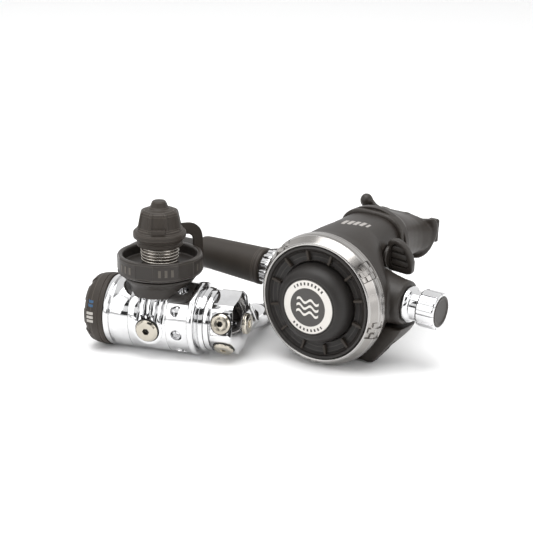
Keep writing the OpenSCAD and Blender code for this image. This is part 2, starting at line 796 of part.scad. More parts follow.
module mouthpiece() {
    y0 = case_depth + 2;
    lip_y = case_depth + 36;
    color("#35312e") place_second() difference() {
        union() {
            hull() {
                neck_section(y0, 2.2);
                neck_section(y0 + 12, 1.4);
            }
            hull() {
                neck_section(y0 + 12, 1.4);
                translate([0, lip_y - 6, lip_z]) rotate([-90, 0, 0]) scale([17, 10, 1]) {
                    cylinder(h = 4, r = 1, $fn = 48);
                }
            }
            hull() for (side = [-1, 1]) translate([side * 15, lip_y - 3, lip_z]) {
                rotate([-90, 0, 0]) cylinder(h = 3.4, r = 13, $fn = 32);
            }
            for (side = [-1, 1]) translate([side * 17, lip_y, lip_z]) {
                translate([-4, 0, -3]) cube([8, 15, 6]);
                translate([-4, 12, -8]) cube([8, 3, 16]);
            }
        }
        translate([0, y0 - 1, neck_z]) rotate([-90, 0, 0]) scale([neck_w / 2 + fit, neck_h / 2 + fit, 1]) {
            cylinder(h = 9, r = 1);
        }
        hull() {
            neck_section(y0 + 7.9, -wall);
            translate([0, lip_y + 8, lip_z]) rotate([-90, 0, 0]) scale([13, 6.5, 1]) {
                cylinder(h = 0.1, r = 1, $fn = 48);
            }
        }
    }
}

module mouthpiece_tie() {
    color("#2f2b28") place_second() translate([0, case_depth + 5, neck_z])
        rotate([-90, 0, 0]) difference() {
        scale([neck_w / 2 + 3.8, neck_h / 2 + 3.8, 1]) cylinder(h = 4, r = 1);
        translate([0, 0, -1]) scale([neck_w / 2 + 2.4, neck_h / 2 + 2.4, 1]) cylinder(h = 6, r = 1);
    }
}

module exhaust_tee() {
    color("#35312e") place_second() difference() {
        translate([0, 34, 0]) rotate([90, 0, 0]) linear_extrude(20) polygon([
            [-46, -11.5], [-43, -18], [-27, -tee_depth], [27, -tee_depth], [43, -18], [46, -11.5]
        ]);
        case_solid(fit);
        at_barrel() along_x(-barrel_reach + 2) cylinder(h = 2 * barrel_reach - 1.4, r = 13 + fit);
        // duct that lets the breath out at both ends
        translate([-60, 18, -33]) cube([120, 12, 11]);
        at_outlet() cylinder(h = 6, r = outlet_r + 0.8);
    }
}

module exhaust_valve() {
    color("#5a5550") place_second() at_outlet() translate([0, 0, gap]) cylinder(h = 0.8, r = outlet_r);
}

first_body();
spring_housing();
end_cap();
pressure_adjuster();
main_spring();
spring_pad();
first_diaphragm();
push_pin();
seat_crown();
main_poppet();
poppet_spring();
poppet_plug();
high_port_plugs();
high_port_orings();
din_stud();
din_oring();
inlet_filter();
filter_clip();
din_collar();
din_wheel();
din_cap();
cap_strap();
turret();
turret_bolt();
turret_oring();
low_port_plugs();
low_port_orings();
hose_inlet_fitting();
hose_inlet_ferrule();
hose();
hose_sleeve();
hose_outlet_ferrule();
hose_nut();
case();
front_ring();
purge_cover();
purge_button();
emblem();
button_spring();
diaphragm();
diaphragm_disc();
valve_barrel();
barrel_ring();
demand_lever();
demand_poppet();
demand_spring();
valve_seat();
adjust_screw();
adjust_knob();
knob_badge();
venturi_lever();
venturi_vane();
mouthpiece();
mouthpiece_tie();
exhaust_tee();
exhaust_valve();
swivel_oring();
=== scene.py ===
import json
import math
import bpy
import bmesh
import numpy as np
from mathutils import Matrix, Vector

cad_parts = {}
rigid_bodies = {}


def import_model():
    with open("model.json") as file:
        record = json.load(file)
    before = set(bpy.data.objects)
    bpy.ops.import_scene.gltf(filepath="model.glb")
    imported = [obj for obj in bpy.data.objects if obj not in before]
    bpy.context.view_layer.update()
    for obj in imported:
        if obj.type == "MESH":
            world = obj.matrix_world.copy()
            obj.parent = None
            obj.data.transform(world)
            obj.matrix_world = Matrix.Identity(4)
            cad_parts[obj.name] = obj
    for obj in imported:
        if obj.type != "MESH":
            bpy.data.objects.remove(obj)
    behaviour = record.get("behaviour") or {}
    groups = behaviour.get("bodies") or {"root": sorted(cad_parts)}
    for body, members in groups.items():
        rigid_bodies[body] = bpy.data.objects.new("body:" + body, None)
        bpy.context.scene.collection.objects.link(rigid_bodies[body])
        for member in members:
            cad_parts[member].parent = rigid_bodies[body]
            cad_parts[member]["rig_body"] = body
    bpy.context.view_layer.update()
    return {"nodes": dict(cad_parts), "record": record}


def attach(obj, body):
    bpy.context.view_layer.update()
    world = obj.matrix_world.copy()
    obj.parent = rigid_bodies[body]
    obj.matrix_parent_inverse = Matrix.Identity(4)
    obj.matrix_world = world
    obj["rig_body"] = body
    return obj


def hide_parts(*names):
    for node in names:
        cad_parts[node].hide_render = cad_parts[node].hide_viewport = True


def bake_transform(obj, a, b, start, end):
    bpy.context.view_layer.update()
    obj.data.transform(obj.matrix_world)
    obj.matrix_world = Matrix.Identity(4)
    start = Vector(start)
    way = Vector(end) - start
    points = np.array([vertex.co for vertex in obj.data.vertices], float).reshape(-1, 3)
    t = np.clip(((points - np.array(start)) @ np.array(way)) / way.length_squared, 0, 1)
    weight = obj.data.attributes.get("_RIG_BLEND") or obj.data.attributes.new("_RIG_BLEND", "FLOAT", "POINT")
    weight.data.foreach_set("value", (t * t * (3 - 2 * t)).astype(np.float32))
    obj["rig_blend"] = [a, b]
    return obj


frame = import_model()
nodes = frame["nodes"]
mm = 0.001

# where the set stands, and where each stage sits in it and how it is turned, in millimetres and degrees
placing = {"set": (-59.7, -10.5, 0), "first": (-1.2, 0, 21.5), "firstTurn": -19,
           "second": (91.8, -26.2, 39), "secondTurns": (-32.2, 3.3, 0.4), "barrel": (0, 23.5, 1.3)}
setShift = Vector(placing["set"]) * mm


def turn(axis, degrees):
    return Matrix.Rotation(math.radians(degrees), 4, axis)


def shift(x, y, z):
    return Matrix.Translation(Vector((x, y, z)) * mm)


# a lathe's upright axis laid along X or Y
alongX = turn("Y", 90)
alongY = turn("X", -90)
firstPlace = Matrix.Translation(setShift) @ shift(*placing["first"]) @ turn("Z", placing["firstTurn"])
headingTurn, leanTurn, rollTurn = placing["secondTurns"]
secondPlace = (Matrix.Translation(setShift) @ shift(*placing["second"])
               @ turn("Z", headingTurn) @ turn("Y", leanTurn) @ turn("X", rollTurn))
barrelPlace = secondPlace @ shift(*placing["barrel"])

cameraView = {"target": (60.59, 0, 50.47), "distance": 1025.44, "elevation": 17.93, "lens": 119.13,
              "sensor": 36, "clip": 40}


def addCamera(view):
    camera = bpy.data.objects.new("camera", bpy.data.cameras.new("camera"))
    bpy.context.scene.collection.objects.link(camera)
    tilt = math.radians(view["elevation"])
    target = setShift + Vector(view["target"]) * mm
    back = Vector((0, -math.cos(tilt), math.sin(tilt))) * view["distance"] * mm
    camera.location = target + back
    camera.rotation_euler = (-back).to_track_quat("-Z", "Y").to_euler()
    camera.data.lens = view["lens"]
    camera.data.sensor_width = view["sensor"]
    camera.data.clip_end = view["clip"]
    bpy.context.scene.camera = camera


addCamera(cameraView)
print("camera placed")


# a node's output socket, so that node maths can be written as plain expressions
class Wire:
    def __init__(self, maker, socket):
        self.maker, self.socket = maker, socket

    def maths(self, operation, first, second=0.0):
        return self.maker.node("ShaderNodeMath", {"operation": operation}, {0: first, 1: second})

    def __add__(self, other):
        return self.maths("ADD", self, other)

    def __sub__(self, other):
        return self.maths("SUBTRACT", self, other)

    def __rsub__(self, other):
        return self.maths("SUBTRACT", other, self)

    def __mul__(self, other):
        return self.maths("MULTIPLY", self, other)

    def __pow__(self, other):
        return self.maths("POWER", self, other)

    def __gt__(self, other):
        return self.maths("GREATER_THAN", self, other)

    def __lt__(self, other):
        return self.maths("LESS_THAN", self, other)

    def size(self):
        return self.maths("ABSOLUTE", self)

    def wave(self):
        return self.maths("SINE", self)

    __radd__ = __add__
    __rmul__ = __mul__


# adds nodes to a shader or geometry tree
class Maker:
    def __init__(self, tree):
        self.tree = tree

    def node(self, kind, settings=None, sockets=None, out=0):
        made = self.tree.nodes.new(kind)
        for name, value in (settings or {}).items():
            if name == "stops":
                for stop, (place, shade) in zip(made.color_ramp.elements, value):
                    stop.position, stop.color = place, (shade, shade, shade, 1)
            else:
                setattr(made, name, value)
        for name, value in (sockets or {}).items():
            if isinstance(value, Wire):
                self.tree.links.new(value.socket, made.inputs[name])
            else:
                made.inputs[name].default_value = value
        return Wire(self, made.outputs[out])

    def noise(self, where, scale, detail=3.0, rough=0.55):
        return self.node("ShaderNodeTexNoise", {},
                         {"Vector": where, "Scale": scale, "Detail": detail, "Roughness": rough})

    def ramp(self, value, low, high):
        return self.node("ShaderNodeMapRange", {"interpolation_type": "SMOOTHSTEP"},
                         {"Value": value, "From Min": low, "From Max": high})

    def blend(self, share, colourA, colourB):
        return self.node("ShaderNodeMix", {"data_type": "RGBA"}, {0: share, 6: colourA, 7: colourB}, out=2)

    def bump(self, height, depth, strength=1.0, after=None):
        sockets = {"Height": height, "Distance": depth, "Strength": strength}
        if after is not None:
            sockets["Normal"] = after
        return self.node("ShaderNodeBump", {}, sockets)


def rgb(colour):
    return (*colour, 1.0)


def newFinish(name):
    material = bpy.data.materials.new(name)
    material.use_nodes = True
    shader = material.node_tree.nodes["Principled BSDF"]
    return material, Maker(material.node_tree), shader


def join(maker, wire, shader, socket):
    maker.tree.links.new(wire.socket, shader.inputs[socket])


def localSpot(maker, place):
    # Object coordinates in a piece's own frame, in millimetres
    spot = maker.node("ShaderNodeTexCoord", out=3)
    back = place.inverted()
    moved = maker.node("ShaderNodeMapping", {}, {
        "Vector": spot, "Location": back.to_translation(), "Rotation": back.to_euler("XYZ")})
    return maker.node("ShaderNodeMapping", {}, {"Vector": moved, "Scale": (1000, 1000, 1000)})


def parts(maker, vector):
    split = maker.tree.nodes.new("ShaderNodeSeparateXYZ")
    maker.tree.links.new(vector.socket, split.inputs[0])
    return [Wire(maker, s) for s in split.outputs]


# pattern scales of the two kinds of finish, and how much their rubbed edges show
metalGrain = {"smudge": 55, "fine": 900, "streaks": (60, 60, 4200), "streakTurn": (0.5, 0.3, 0.9)}
softGrain = {"cloud": 45, "grain": 2600, "pits": 1500, "rubbed": 0.5}


def metalFinish(name, look):
    material, m, shader = newFinish(name)
    spot = m.node("ShaderNodeTexCoord", out=3)
    smudge = m.noise(spot, metalGrain["smudge"], 4)
    fine = m.noise(spot, metalGrain["fine"], 2)
    streaks = m.node("ShaderNodeMapping", {}, {
        "Vector": spot, "Rotation": metalGrain["streakTurn"], "Scale": metalGrain["streaks"]})
    scratch = m.ramp(m.noise(streaks, 1.0, 2), 0.64, 0.72)
    wear = m.node("ShaderNodeAttribute", {"attribute_name": "wear"}, out=2)
    tarnish = m.ramp(smudge, 0.35, 0.7) * look.get("tarnish", 0.5)
    tone = m.blend(tarnish, rgb(look["colour"]), rgb(look["dark"]))
    join(m, m.blend(wear * 0.35, tone, rgb(look.get("edge", look["colour"]))), shader, "Base Color")
    rough = look["rough"] + smudge * look["spread"] + scratch * 0.06 + fine * 0.02
    join(m, rough, shader, "Roughness")
    shader.inputs["Metallic"].default_value = 1.0
    join(m, m.bump(fine * look.get("grain", 0.15) + scratch * -0.4, 0.00001), shader, "Normal")
    return material


def softFinish(name, look):
    material, m, shader = newFinish(name)
    spot = m.node("ShaderNodeTexCoord", out=3)
    cloud = m.noise(spot, softGrain["cloud"], 5, 0.6)
    grain = m.noise(spot, softGrain["grain"], 3)
    pits = m.node("ShaderNodeTexVoronoi", {}, {"Vector": spot, "Scale": softGrain["pits"]})
    wear = m.node("ShaderNodeAttribute", {"attribute_name": "wear"}, out=2)
    dust = m.ramp(cloud, 0.42, 0.75) * 0.5 + m.ramp(grain, 0.5, 0.8) * 0.25
    tone = m.blend(dust, rgb(look["colour"]), rgb(look["dust"]))
    rubbed = m.ramp(wear + grain * 0.3, 0.6, 1.1) * softGrain["rubbed"]
    join(m, m.blend(rubbed, tone, rgb(look["edge"])), shader, "Base Color")
    join(m, look["rough"] + cloud * 0.14 - rubbed * 0.12, shader, "Roughness")
    join(m, m.bump(grain * 0.7 + pits * 0.5, look.get("depth", 0.00003)), shader, "Normal")
    shader.inputs["Specular IOR Level"].default_value = look.get("shine", 0.5)
    return material


def emblemFinish(name, place, look):
    # a pale ring with plain tick marks around a dark middle with three wave lines
    material, m, shader = newFinish(name)
    spot = localSpot(m, place)
    x, y, z = parts(m, spot)
    radius = (x * x + z * z) ** 0.5
    angle = m.node("ShaderNodeMath", {"operation": "ARCTAN2"}, {0: z, 1: x})
    dark = radius < look["inner"]
    apart, thick = look["waveGap"], look["waveThick"]
    ripple = z - (x * look["waveBends"]).wave() * look["waveHeight"]
    bars = (((ripple.size() < thick) + ((ripple - apart).size() < thick) + ((ripple + apart).size() < thick))
            * (x.size() < look["waveHalf"]) * (radius < look["waveReach"]))
    tickFrom, tickTo = look["tickReach"]
    tick = (((angle * look["ticks"]).wave() > 0.1) * (radius > tickFrom) * (radius < tickTo)
            * (angle.wave().size() > look["tickSides"]))
    rim = radius > look["outer"]
    speck = m.noise(spot, 3.0, 3)
    pale = m.blend(m.ramp(speck, 0.4, 0.75) * 0.35, rgb(look["pale"]), rgb(look["aged"]))
    black = m.blend(speck, rgb(look["black"]), rgb(look["blackDust"]))
    base = m.blend(dark, pale, black)
    base = m.blend(bars * dark, base, pale)
    base = m.blend((tick + rim).maths("MINIMUM", tick + rim, 1.0), base, black)
    join(m, base, shader, "Base Color")
    join(m, 0.3 + speck * 0.2, shader, "Roughness")
    raised = 1 - dark * (1 - bars)
    join(m, m.bump(raised, 0.00012, 0.6, m.bump(m.noise(spot, 8.0), 0.00001)), shader, "Normal")
    shader.inputs["Coat Weight"].default_value = 0.25
    return material


def markedFinish(name, look, place, marks):
    # soft finish with printed bars: each mark is (centre, half size, colour) in a piece's own frame
    material = softFinish(name, look)
    m = Maker(material.node_tree)
    shader = material.node_tree.nodes["Principled BSDF"]
    base = Wire(m, shader.inputs["Base Color"].links[0].from_socket)
    spot = localSpot(m, place)
    x, y, z = parts(m, spot)
    fade = m.ramp(m.noise(spot, 2.2, 3), 0.25, 0.5) * 0.3 + 0.7
    for (cx, cy, cz), (hx, hy, hz), colour in marks:
        inside = (((x - cx).size() < hx) * ((y - cy).size() < hy) * ((z - cz).size() < hz))
        base = m.blend(inside * fade, base, rgb(colour))
    join(m, base, shader, "Base Color")
    return material


looks = {
    "chrome": {"colour": (0.74, 0.74, 0.745), "dark": (0.52, 0.52, 0.525), "rough": 0.02, "spread": 0.05},
    "ring": {"colour": (0.33, 0.315, 0.30), "dark": (0.23, 0.22, 0.21), "edge": (0.80, 0.80, 0.80),
             "rough": 0.15, "spread": 0.10, "grain": 0.5},
    "nickel": {"colour": (0.50, 0.465, 0.40), "dark": (0.28, 0.25, 0.20), "rough": 0.10, "spread": 0.10},
    "thread": {"colour": (0.50, 0.47, 0.43), "dark": (0.22, 0.19, 0.16), "rough": 0.18, "spread": 0.14,
               "tarnish": 0.8},
    "steel": {"colour": (0.58, 0.58, 0.59), "dark": (0.40, 0.40, 0.41), "rough": 0.22, "spread": 0.14},
    "brass": {"colour": (0.74, 0.58, 0.30), "dark": (0.45, 0.33, 0.16), "rough": 0.22, "spread": 0.16},
    "rubber": {"colour": (0.026, 0.020, 0.015), "dust": (0.042, 0.033, 0.026), "edge": (0.095, 0.080, 0.068),
               "rough": 0.48, "shine": 0.35},
    "plastic": {"colour": (0.022, 0.018, 0.015), "dust": (0.034, 0.028, 0.024), "edge": (0.09, 0.078, 0.068),
                "rough": 0.36, "shine": 0.38, "depth": 0.00002},
    "cover": {"colour": (0.012, 0.010, 0.009), "dust": (0.022, 0.019, 0.017), "edge": (0.07, 0.062, 0.056),
              "rough": 0.42, "shine": 0.36},
    "silicone": {"colour": (0.024, 0.019, 0.015), "dust": (0.036, 0.029, 0.024), "edge": (0.08, 0.07, 0.06),
                 "rough": 0.34, "shine": 0.4, "depth": 0.000015},
    "hose": {"colour": (0.022, 0.019, 0.017), "dust": (0.036, 0.031, 0.028), "edge": (0.06, 0.052, 0.047),
             "rough": 0.46, "shine": 0.4},
    "seal": {"colour": (0.010, 0.009, 0.009), "dust": (0.02, 0.019, 0.018), "edge": (0.04, 0.04, 0.04),
             "rough": 0.40, "shine": 0.3},
    "print": {"colour": (0.085, 0.075, 0.064), "dust": (0.11, 0.10, 0.09), "edge": (0.14, 0.13, 0.12),
              "rough": 0.5, "shine": 0.3},
    "inner": {"colour": (0.36, 0.35, 0.33), "dust": (0.42, 0.41, 0.39), "edge": (0.5, 0.5, 0.5),
              "rough": 0.45},
}
finishes = {name: (metalFinish if "spread" in look else softFinish)(name + "Finish", look)
            for name, look in looks.items()}
# plain bars on the end cap and the case: (centre, half size, ink)
ink = {"pale": (0.42, 0.40, 0.37), "blue": (0.03, 0.085, 0.17), "grey": (0.34, 0.32, 0.30)}
capMarks = [((-36.5, -21.2, 2.4 * i - 2.0), (2.2, 4.2, 0.8), ink["pale"]) for i in range(3)]
capMarks += [((-36.5, -19.6, 7.2 + 2.2 * i), (1.9, 4.0, 0.7), ink["blue"]) for i in range(2)]
labelMarks = [((-4.4 + i * 3.3, 30.5 + i * 1.1, 37), (1.15, 3.4, 6), ink["grey"]) for i in range(4)]
labelMarks += [((8.6, 34.6, 36), (0.7, 2.4, 6), ink["grey"])]
finishes["markedCap"] = markedFinish("markedCapFinish", looks["rubber"], firstPlace, capMarks)
finishes["markedCase"] = markedFinish("markedCaseFinish", looks["plastic"], secondPlace, labelMarks)
finishes["emblem"] = emblemFinish("emblemFinish", secondPlace, {
    "inner": 11.3, "outer": 15.7, "pale": (0.66, 0.635, 0.60), "aged": (0.54, 0.51, 0.46),
    "black": (0.026, 0.023, 0.021), "blackDust": (0.045, 0.04, 0.036),
    "waveGap": 3.6, "waveThick": 0.75, "waveBends": 0.85, "waveHeight": 1.1, "waveHalf": 7.2,
    "waveReach": 8.8, "ticks": 36, "tickReach": (12.9, 14.6), "tickSides": 0.72})
print("finishes made")


def addMesh(name, points, faces, place=None, wear=None):
    mesh = bpy.data.meshes.new(name)
    mesh.from_pydata([tuple(p) for p in points], [], faces)
    if wear is not None:
        mark = mesh.attributes.new("wear", "FLOAT", "POINT")
        mark.data.foreach_set("value", np.asarray(wear, np.float32))
    if place is not None:
        mesh.transform(place)
    piece = bpy.data.objects.new(name, mesh)
    bpy.context.scene.collection.objects.link(piece)
    return piece


sameSpot = 0.000004  # corners nearer than this, in metres, become one


def tidy(piece, angle=35):
    work = bmesh.new()
    work.from_mesh(piece.data)
    bmesh.ops.remove_doubles(work, verts=work.verts, dist=sameSpot)
    bmesh.ops.recalc_face_normals(work, faces=work.faces)
    work.to_mesh(piece.data)
    work.free()
    piece.data.shade_smooth()
    piece.data.set_sharp_from_angle(angle=math.radians(angle))


def frozen(piece):
    # the piece with its modifiers worked in
    view = bpy.context.evaluated_depsgraph_get()
    done = bpy.data.meshes.new_from_object(
        piece.evaluated_get(view), preserve_all_data_layers=True, depsgraph=view)
    piece.modifiers.clear()
    piece.data = done
    return piece


def hand(piece, body, finish, slotName, *replaced):
    # gives a piece its finish and the body it rides on, and hides the CAD nodes it stands for; slotName is
    # not used
    piece.data.materials.clear()
    piece.data.materials.append(finishes[finish])
    if body:
        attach(piece, body)
    if replaced:
        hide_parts(*replaced)


def roundedLine(corners, fillet, closed, steps=4):
    # corners are (radius, height) or (radius, height, own fillet); gives (radius, height, cornerness)
    line = []
    count = len(corners)
    for i, corner in enumerate(corners):
        here = np.array(corner[:2], float)
        own = corner[2] if len(corner) > 2 else fillet
        if own <= 0 or (not closed and i in (0, count - 1)):
            line.append((*here, 0.0))
            continue
        before = np.array(corners[i - 1][:2], float) - here
        after = np.array(corners[(i + 1) % count][:2], float) - here
        reachA, reachB = np.linalg.norm(before), np.linalg.norm(after)
        cut = min(own, reachA * 0.45, reachB * 0.45)
        start, end = here + before / reachA * cut, here + after / reachB * cut
        for k in range(steps + 1):
            t = k / steps
            point = (1 - t) ** 2 * start + 2 * t * (1 - t) * here + t * t * end
            line.append((*point, 1 - abs(2 * t - 1)))
    return line


def turned(name, corners, place, count=160, fillet=0.4, closed=False, longest=None, warp=None, angle=35):
    # an outline turned round its axis; longest splits long stretches, warp changes each ring
    line = roundedLine(corners, fillet, closed)
    if longest:
        dense = []
        pairs = list(zip(line, line[1:] + line[:1])) if closed else list(zip(line, line[1:]))
        for a, b in pairs:
            cuts = max(1, int(math.hypot(b[0] - a[0], b[1] - a[1]) / longest + 0.999))
            for k in range(cuts):
                dense.append(tuple(a[j] + (b[j] - a[j]) * k / cuts for j in range(3)))
        line = dense if closed else dense + [line[-1]]
    angles = np.arange(count) * 2 * math.pi / count
    points, wear, rings = [], [], []
    for r, z, corner in line:
        if r < 1e-6:
            rings.append([len(points)] * count)
            points.append((0, 0, z * mm))
            wear.append(0)
            continue
        radii, heights = np.full(count, r), np.full(count, z)
        if warp:
            radii, heights = warp(angles, radii, heights)
        rings.append(list(range(len(points), len(points) + count)))
        points += list(zip(radii * np.cos(angles) * mm, radii * np.sin(angles) * mm, heights * mm))
        wear += [corner] * count
    faces = []
    pairs = list(zip(rings, rings[1:])) + ([(rings[-1], rings[0])] if closed else [])
    for low, high in pairs:
        for j in range(count):
            k = (j + 1) % count
            face = [low[j], low[k], high[k], high[j]]
            face = [v for i, v in enumerate(face) if v not in face[:i]]
            if len(face) > 2:
                faces.append(face)
    piece = addMesh(name, points, faces, place, wear)
    tidy(piece, angle)
    return piece


def dressed(node, finish, slotName, bevel):
    # a merged copy of a CAD node with softened edges
    source = nodes[node]
    piece = bpy.data.objects.new(node + "_skin", source.data.copy())
    bpy.context.scene.collection.objects.link(piece)
    tidy(piece)
    if bevel:
        sharp = math.radians(40)
        edge = piece.modifiers.new("edge", "BEVEL")
        edge.width, edge.segments, edge.limit_method = bevel * mm, 2, "ANGLE"
        edge.angle_limit = sharp
        edge.use_clamp_overlap = True
        frozen(piece)
        piece.data.shade_smooth()
        piece.data.set_sharp_from_angle(angle=sharp)
    hand(piece, source["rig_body"], finish, slotName, node)


def nodeRun(name, build, values, finish):
    # builds a geometry node tree, works it out and gives a plain mesh
    tree = bpy.data.node_groups.new(name + "Tree", "GeometryNodeTree")
    sockets = {}
    for label, value in values.items():
        kind = "NodeSocketInt" if isinstance(value, int) else "NodeSocketFloat"
        sockets[label] = tree.interface.new_socket(label, in_out="INPUT", socket_type=kind).identifier
    tree.interface.new_socket("Geometry", in_out="OUTPUT", socket_type="NodeSocketGeometry")
    g = Maker(tree)
    entry = tree.nodes.new("NodeGroupInput")
    wires = {label: Wire(g, entry.outputs[label]) for label in values}
    shape = build(g, wires)
    shape = g.node("GeometryNodeRealizeInstances", {}, {"Geometry": shape})
    shape = g.node("GeometryNodeSetMaterial", {}, {"Geometry": shape, "Material": finishes[finish]})
    end = tree.nodes.new("NodeGroupOutput")
    tree.links.new(shape.socket, end.inputs["Geometry"])
    piece = addMesh(name, [], [])
    change = piece.modifiers.new("shape", "NODES")
    change.node_group = tree
    for label, value in values.items():
        change[sockets[label]] = value
    return frozen(piece)


def aroundCircle(g, wires, shape):
    # copies of a shape on a circle, each facing outwards
    circle = g.node("GeometryNodeMeshCircle", {}, {
        "Vertices": wires["Count"], "Radius": wires["Circle radius"]})
    place = g.node("GeometryNodeInputPosition")
    facing = g.node("FunctionNodeAlignEulerToVector", {"axis": "X", "pivot_axis": "Z"}, {"Vector": place})
    return g.node("GeometryNodeInstanceOnPoints", {}, {
        "Points": circle, "Instance": shape, "Rotation": facing})


# the hose, laid from the second stage round to the turret
hoseLook = {"diameter": 11.5, "sides": 28, "step": 3.0}
hoseRoute = [
    (43.6, 31.9, 44.6), (32.6, 38.9, 45.3), (21.6, 45.8, 46.1), (5, 56.5, 46), (-12, 69, 41),
    (-24.5, 86.5, 31), (-29.5, 109, 19.5), (-23.5, 131, 11.5), (-9.5, 147.5, 7.5), (10, 157, 6.2),
    (33, 158, 6.2), (54, 156, 6.2), (72.5, 159, 6.2), (91, 162.5, 6.2), (112, 158, 6.2),
    (129, 144.5, 6.2), (137, 124, 6.2), (134.5, 103, 6.2), (123.5, 86.5, 6.2), (107, 76, 6.2),
    (91.5, 70.5, 6.2), (76.5, 62.5, 6.2), (65.8, 53, 6.3), (59.4, 42.5, 6.8), (56.15, 33.2, 9),
    (54.9, 29.6, 9.96)]


def smoothPath(corners, step):
    path = [np.array(c, float) for c in corners]
    path = [2 * path[0] - path[1]] + path + [2 * path[-1] - path[-2]]
    out = []
    for a, b, c, d in zip(path, path[1:], path[2:], path[3:]):
        count = max(1, round(np.linalg.norm(c - b) / step))
        for k in range(count):
            t = k / count
            out.append(0.5 * (2 * b + (c - a) * t + (2 * a - 5 * b + 4 * c - d) * t ** 2
                              + (3 * b - a - 3 * c + d) * t ** 3))
    return np.array(out + [path[-2]])


def sweep(name, path, section, place=None, up=(0, 0, 1)):
    # a closed section, in millimetres across and up, carried along a path
    points, faces = [], []
    sides = len(section)
    for i, here in enumerate(path):
        ahead = path[min(i + 1, len(path) - 1)] - path[max(i - 1, 0)]
        ahead = ahead / np.linalg.norm(ahead)
        across = np.cross(up, ahead)
        across = across / np.linalg.norm(across)
        over = np.cross(ahead, across)
        points += [(here + across * s + over * t) * mm for s, t in section]
    for i in range(len(path) - 1):
        for k in range(sides):
            a, b = i * sides + k, i * sides + (k + 1) % sides
            faces.append((a, b, b + sides, a + sides))
    faces += [tuple(range(sides))[::-1], tuple(range(len(points) - sides, len(points)))]
    piece = addMesh(name, points, faces, place)
    tidy(piece, 50)
    return piece


def roundSection(radius, sides):
    return [(radius * math.cos(2 * math.pi * k / sides), radius * math.sin(2 * math.pi * k / sides))
            for k in range(sides)]


hosePath = smoothPath(hoseRoute, hoseLook["step"])
hoseLine = [tuple((Vector(p) * mm + setShift)) for p in hosePath]
hose = sweep("hose_tube", hosePath, roundSection(hoseLook["diameter"] / 2, hoseLook["sides"]),
             Matrix.Translation(setShift))
hand(hose, None, "hose", "hose_rubber", "hose")
hoseEnd = Vector(hoseLine[-1])
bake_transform(hose, "turret_body", "first_stage", start=hoseEnd, end=hoseEnd + Vector((0, 0.6, 0.8)) * 0.016)

# first stage
for node, finish, slotName, bevel in (
        ("first_body", "chrome", "chrome_first", 0.15), ("spring_housing", "chrome", "chrome_first", 0.15),
        ("turret", "chrome", "chrome_first", 0.25), ("high_port_plugs", "nickel", "plug_nickel", 0.15),
        ("low_port_plugs", "nickel", "plug_nickel", 0.15), ("turret_bolt", "nickel", "plug_nickel", 0.15),
        ("hose_inlet_fitting", "chrome", "chrome_small", 0.2),
        ("hose_inlet_ferrule", "chrome", "chrome_small", 0),
        ("hose_outlet_ferrule", "chrome", "chrome_small", 0), ("hose_nut", "chrome", "chrome_small", 0.2),
        ("barrel_ring", "chrome", "chrome_small", 0.15),
        ("din_collar", "plastic", "connector_plastic", 0.2)):
    dressed(node, finish, slotName, bevel)
for name, finish in (("brass_inner", "brass"), ("steel_inner", "steel"), ("barrel_metal", "steel"),
                     ("seal_rubber", "seal"), ("inner_plastic", "inner"), ("silicone_dark", "silicone"),
                     ("hose_rubber", "hose"), ("connector_metal", "thread"), ("tie_plastic", "plastic")):
    for part in frame["record"]["subparts"]:
        if part["material_slot"] == name:
            node = nodes[part["node"]]
            node.data.materials.clear()
            node.data.materials.append(finishes[finish])

# painted shade: a dark disc in each plug's socket, and a dark ring round each plug, partly a seal's edge and
# partly painted shadow in the gap: (body, x, angle, reach, seal radius)
plugShadeShape = {"socket": [(0, -0.4), (1.9, -0.4), (1.9, -0.1), (0, -0.1)],
             "sealHalf": 0.5, "seal": (-0.2, 0.35)}
plugSpots = [("first_stage", 0, side * 98, 21.5, 6.9) for side in (-1, 1)]
plugSpots += [("turret_body", 43.4, angle, 16.6, 6.0) for angle in (76, 136, 196)]
for i, (body, x, angle, reach, radius) in enumerate(plugSpots):
    spot = firstPlace @ shift(x, 0, 0) @ turn("X", angle) @ shift(0, 0, reach)
    # the socket's floor is a dark disc of the seal finish, painted shade
    hand(turned("plug_socket_painted_shade_%d" % i, plugShadeShape["socket"], spot, 6, 0.1), body, "seal", "seal_rubber")
    # round the plug head a dark ring, partly the seal's edge and partly painted shadow in the gap
    inner, outer = radius - plugShadeShape["sealHalf"], radius + plugShadeShape["sealHalf"]
    foot, top = plugShadeShape["seal"]
    sealAndShadowLine = [(inner, foot), (outer, foot), (outer, top), (inner, top)]
    hand(turned("plug_seal_and_shadow_gap_%d" % i, sealAndShadowLine, spot, 64, 0.2, closed=True), body, "seal", "seal_rubber")

endCap = {"lugs": 8, "lugDepth": 1.1, "gapShare": 0.17, "gapFrom": -37.5, "gapRadius": 15, "outline": [
    (0, -42.55), (14.6, -42.55), (15.2, -42.0), (17.6, -41.7), (19.9, -39.4), (20.9, -36), (21.35, -31.9),
    (20.9, -31.6), (20.9, -31.1), (21.35, -30.8), (21.3, -28.8), (12, -28.7), (12, -39), (0, -39)]}


def lugWarp(angles, r, z):
    # sunk gaps between the lugs round the cap's end
    gap = np.abs((np.degrees(angles) / (360 / endCap["lugs"])) % 1 - 0.5) < endCap["gapShare"]
    return r - endCap["lugDepth"] * gap * (z < endCap["gapFrom"]) * (r > endCap["gapRadius"]), z


cap = turned("end_cap_shell", endCap["outline"], firstPlace @ alongX, 240, 0.7, longest=0.8, warp=lugWarp)
hand(cap, "first_stage", "markedCap", "cap_rubber", "end_cap")

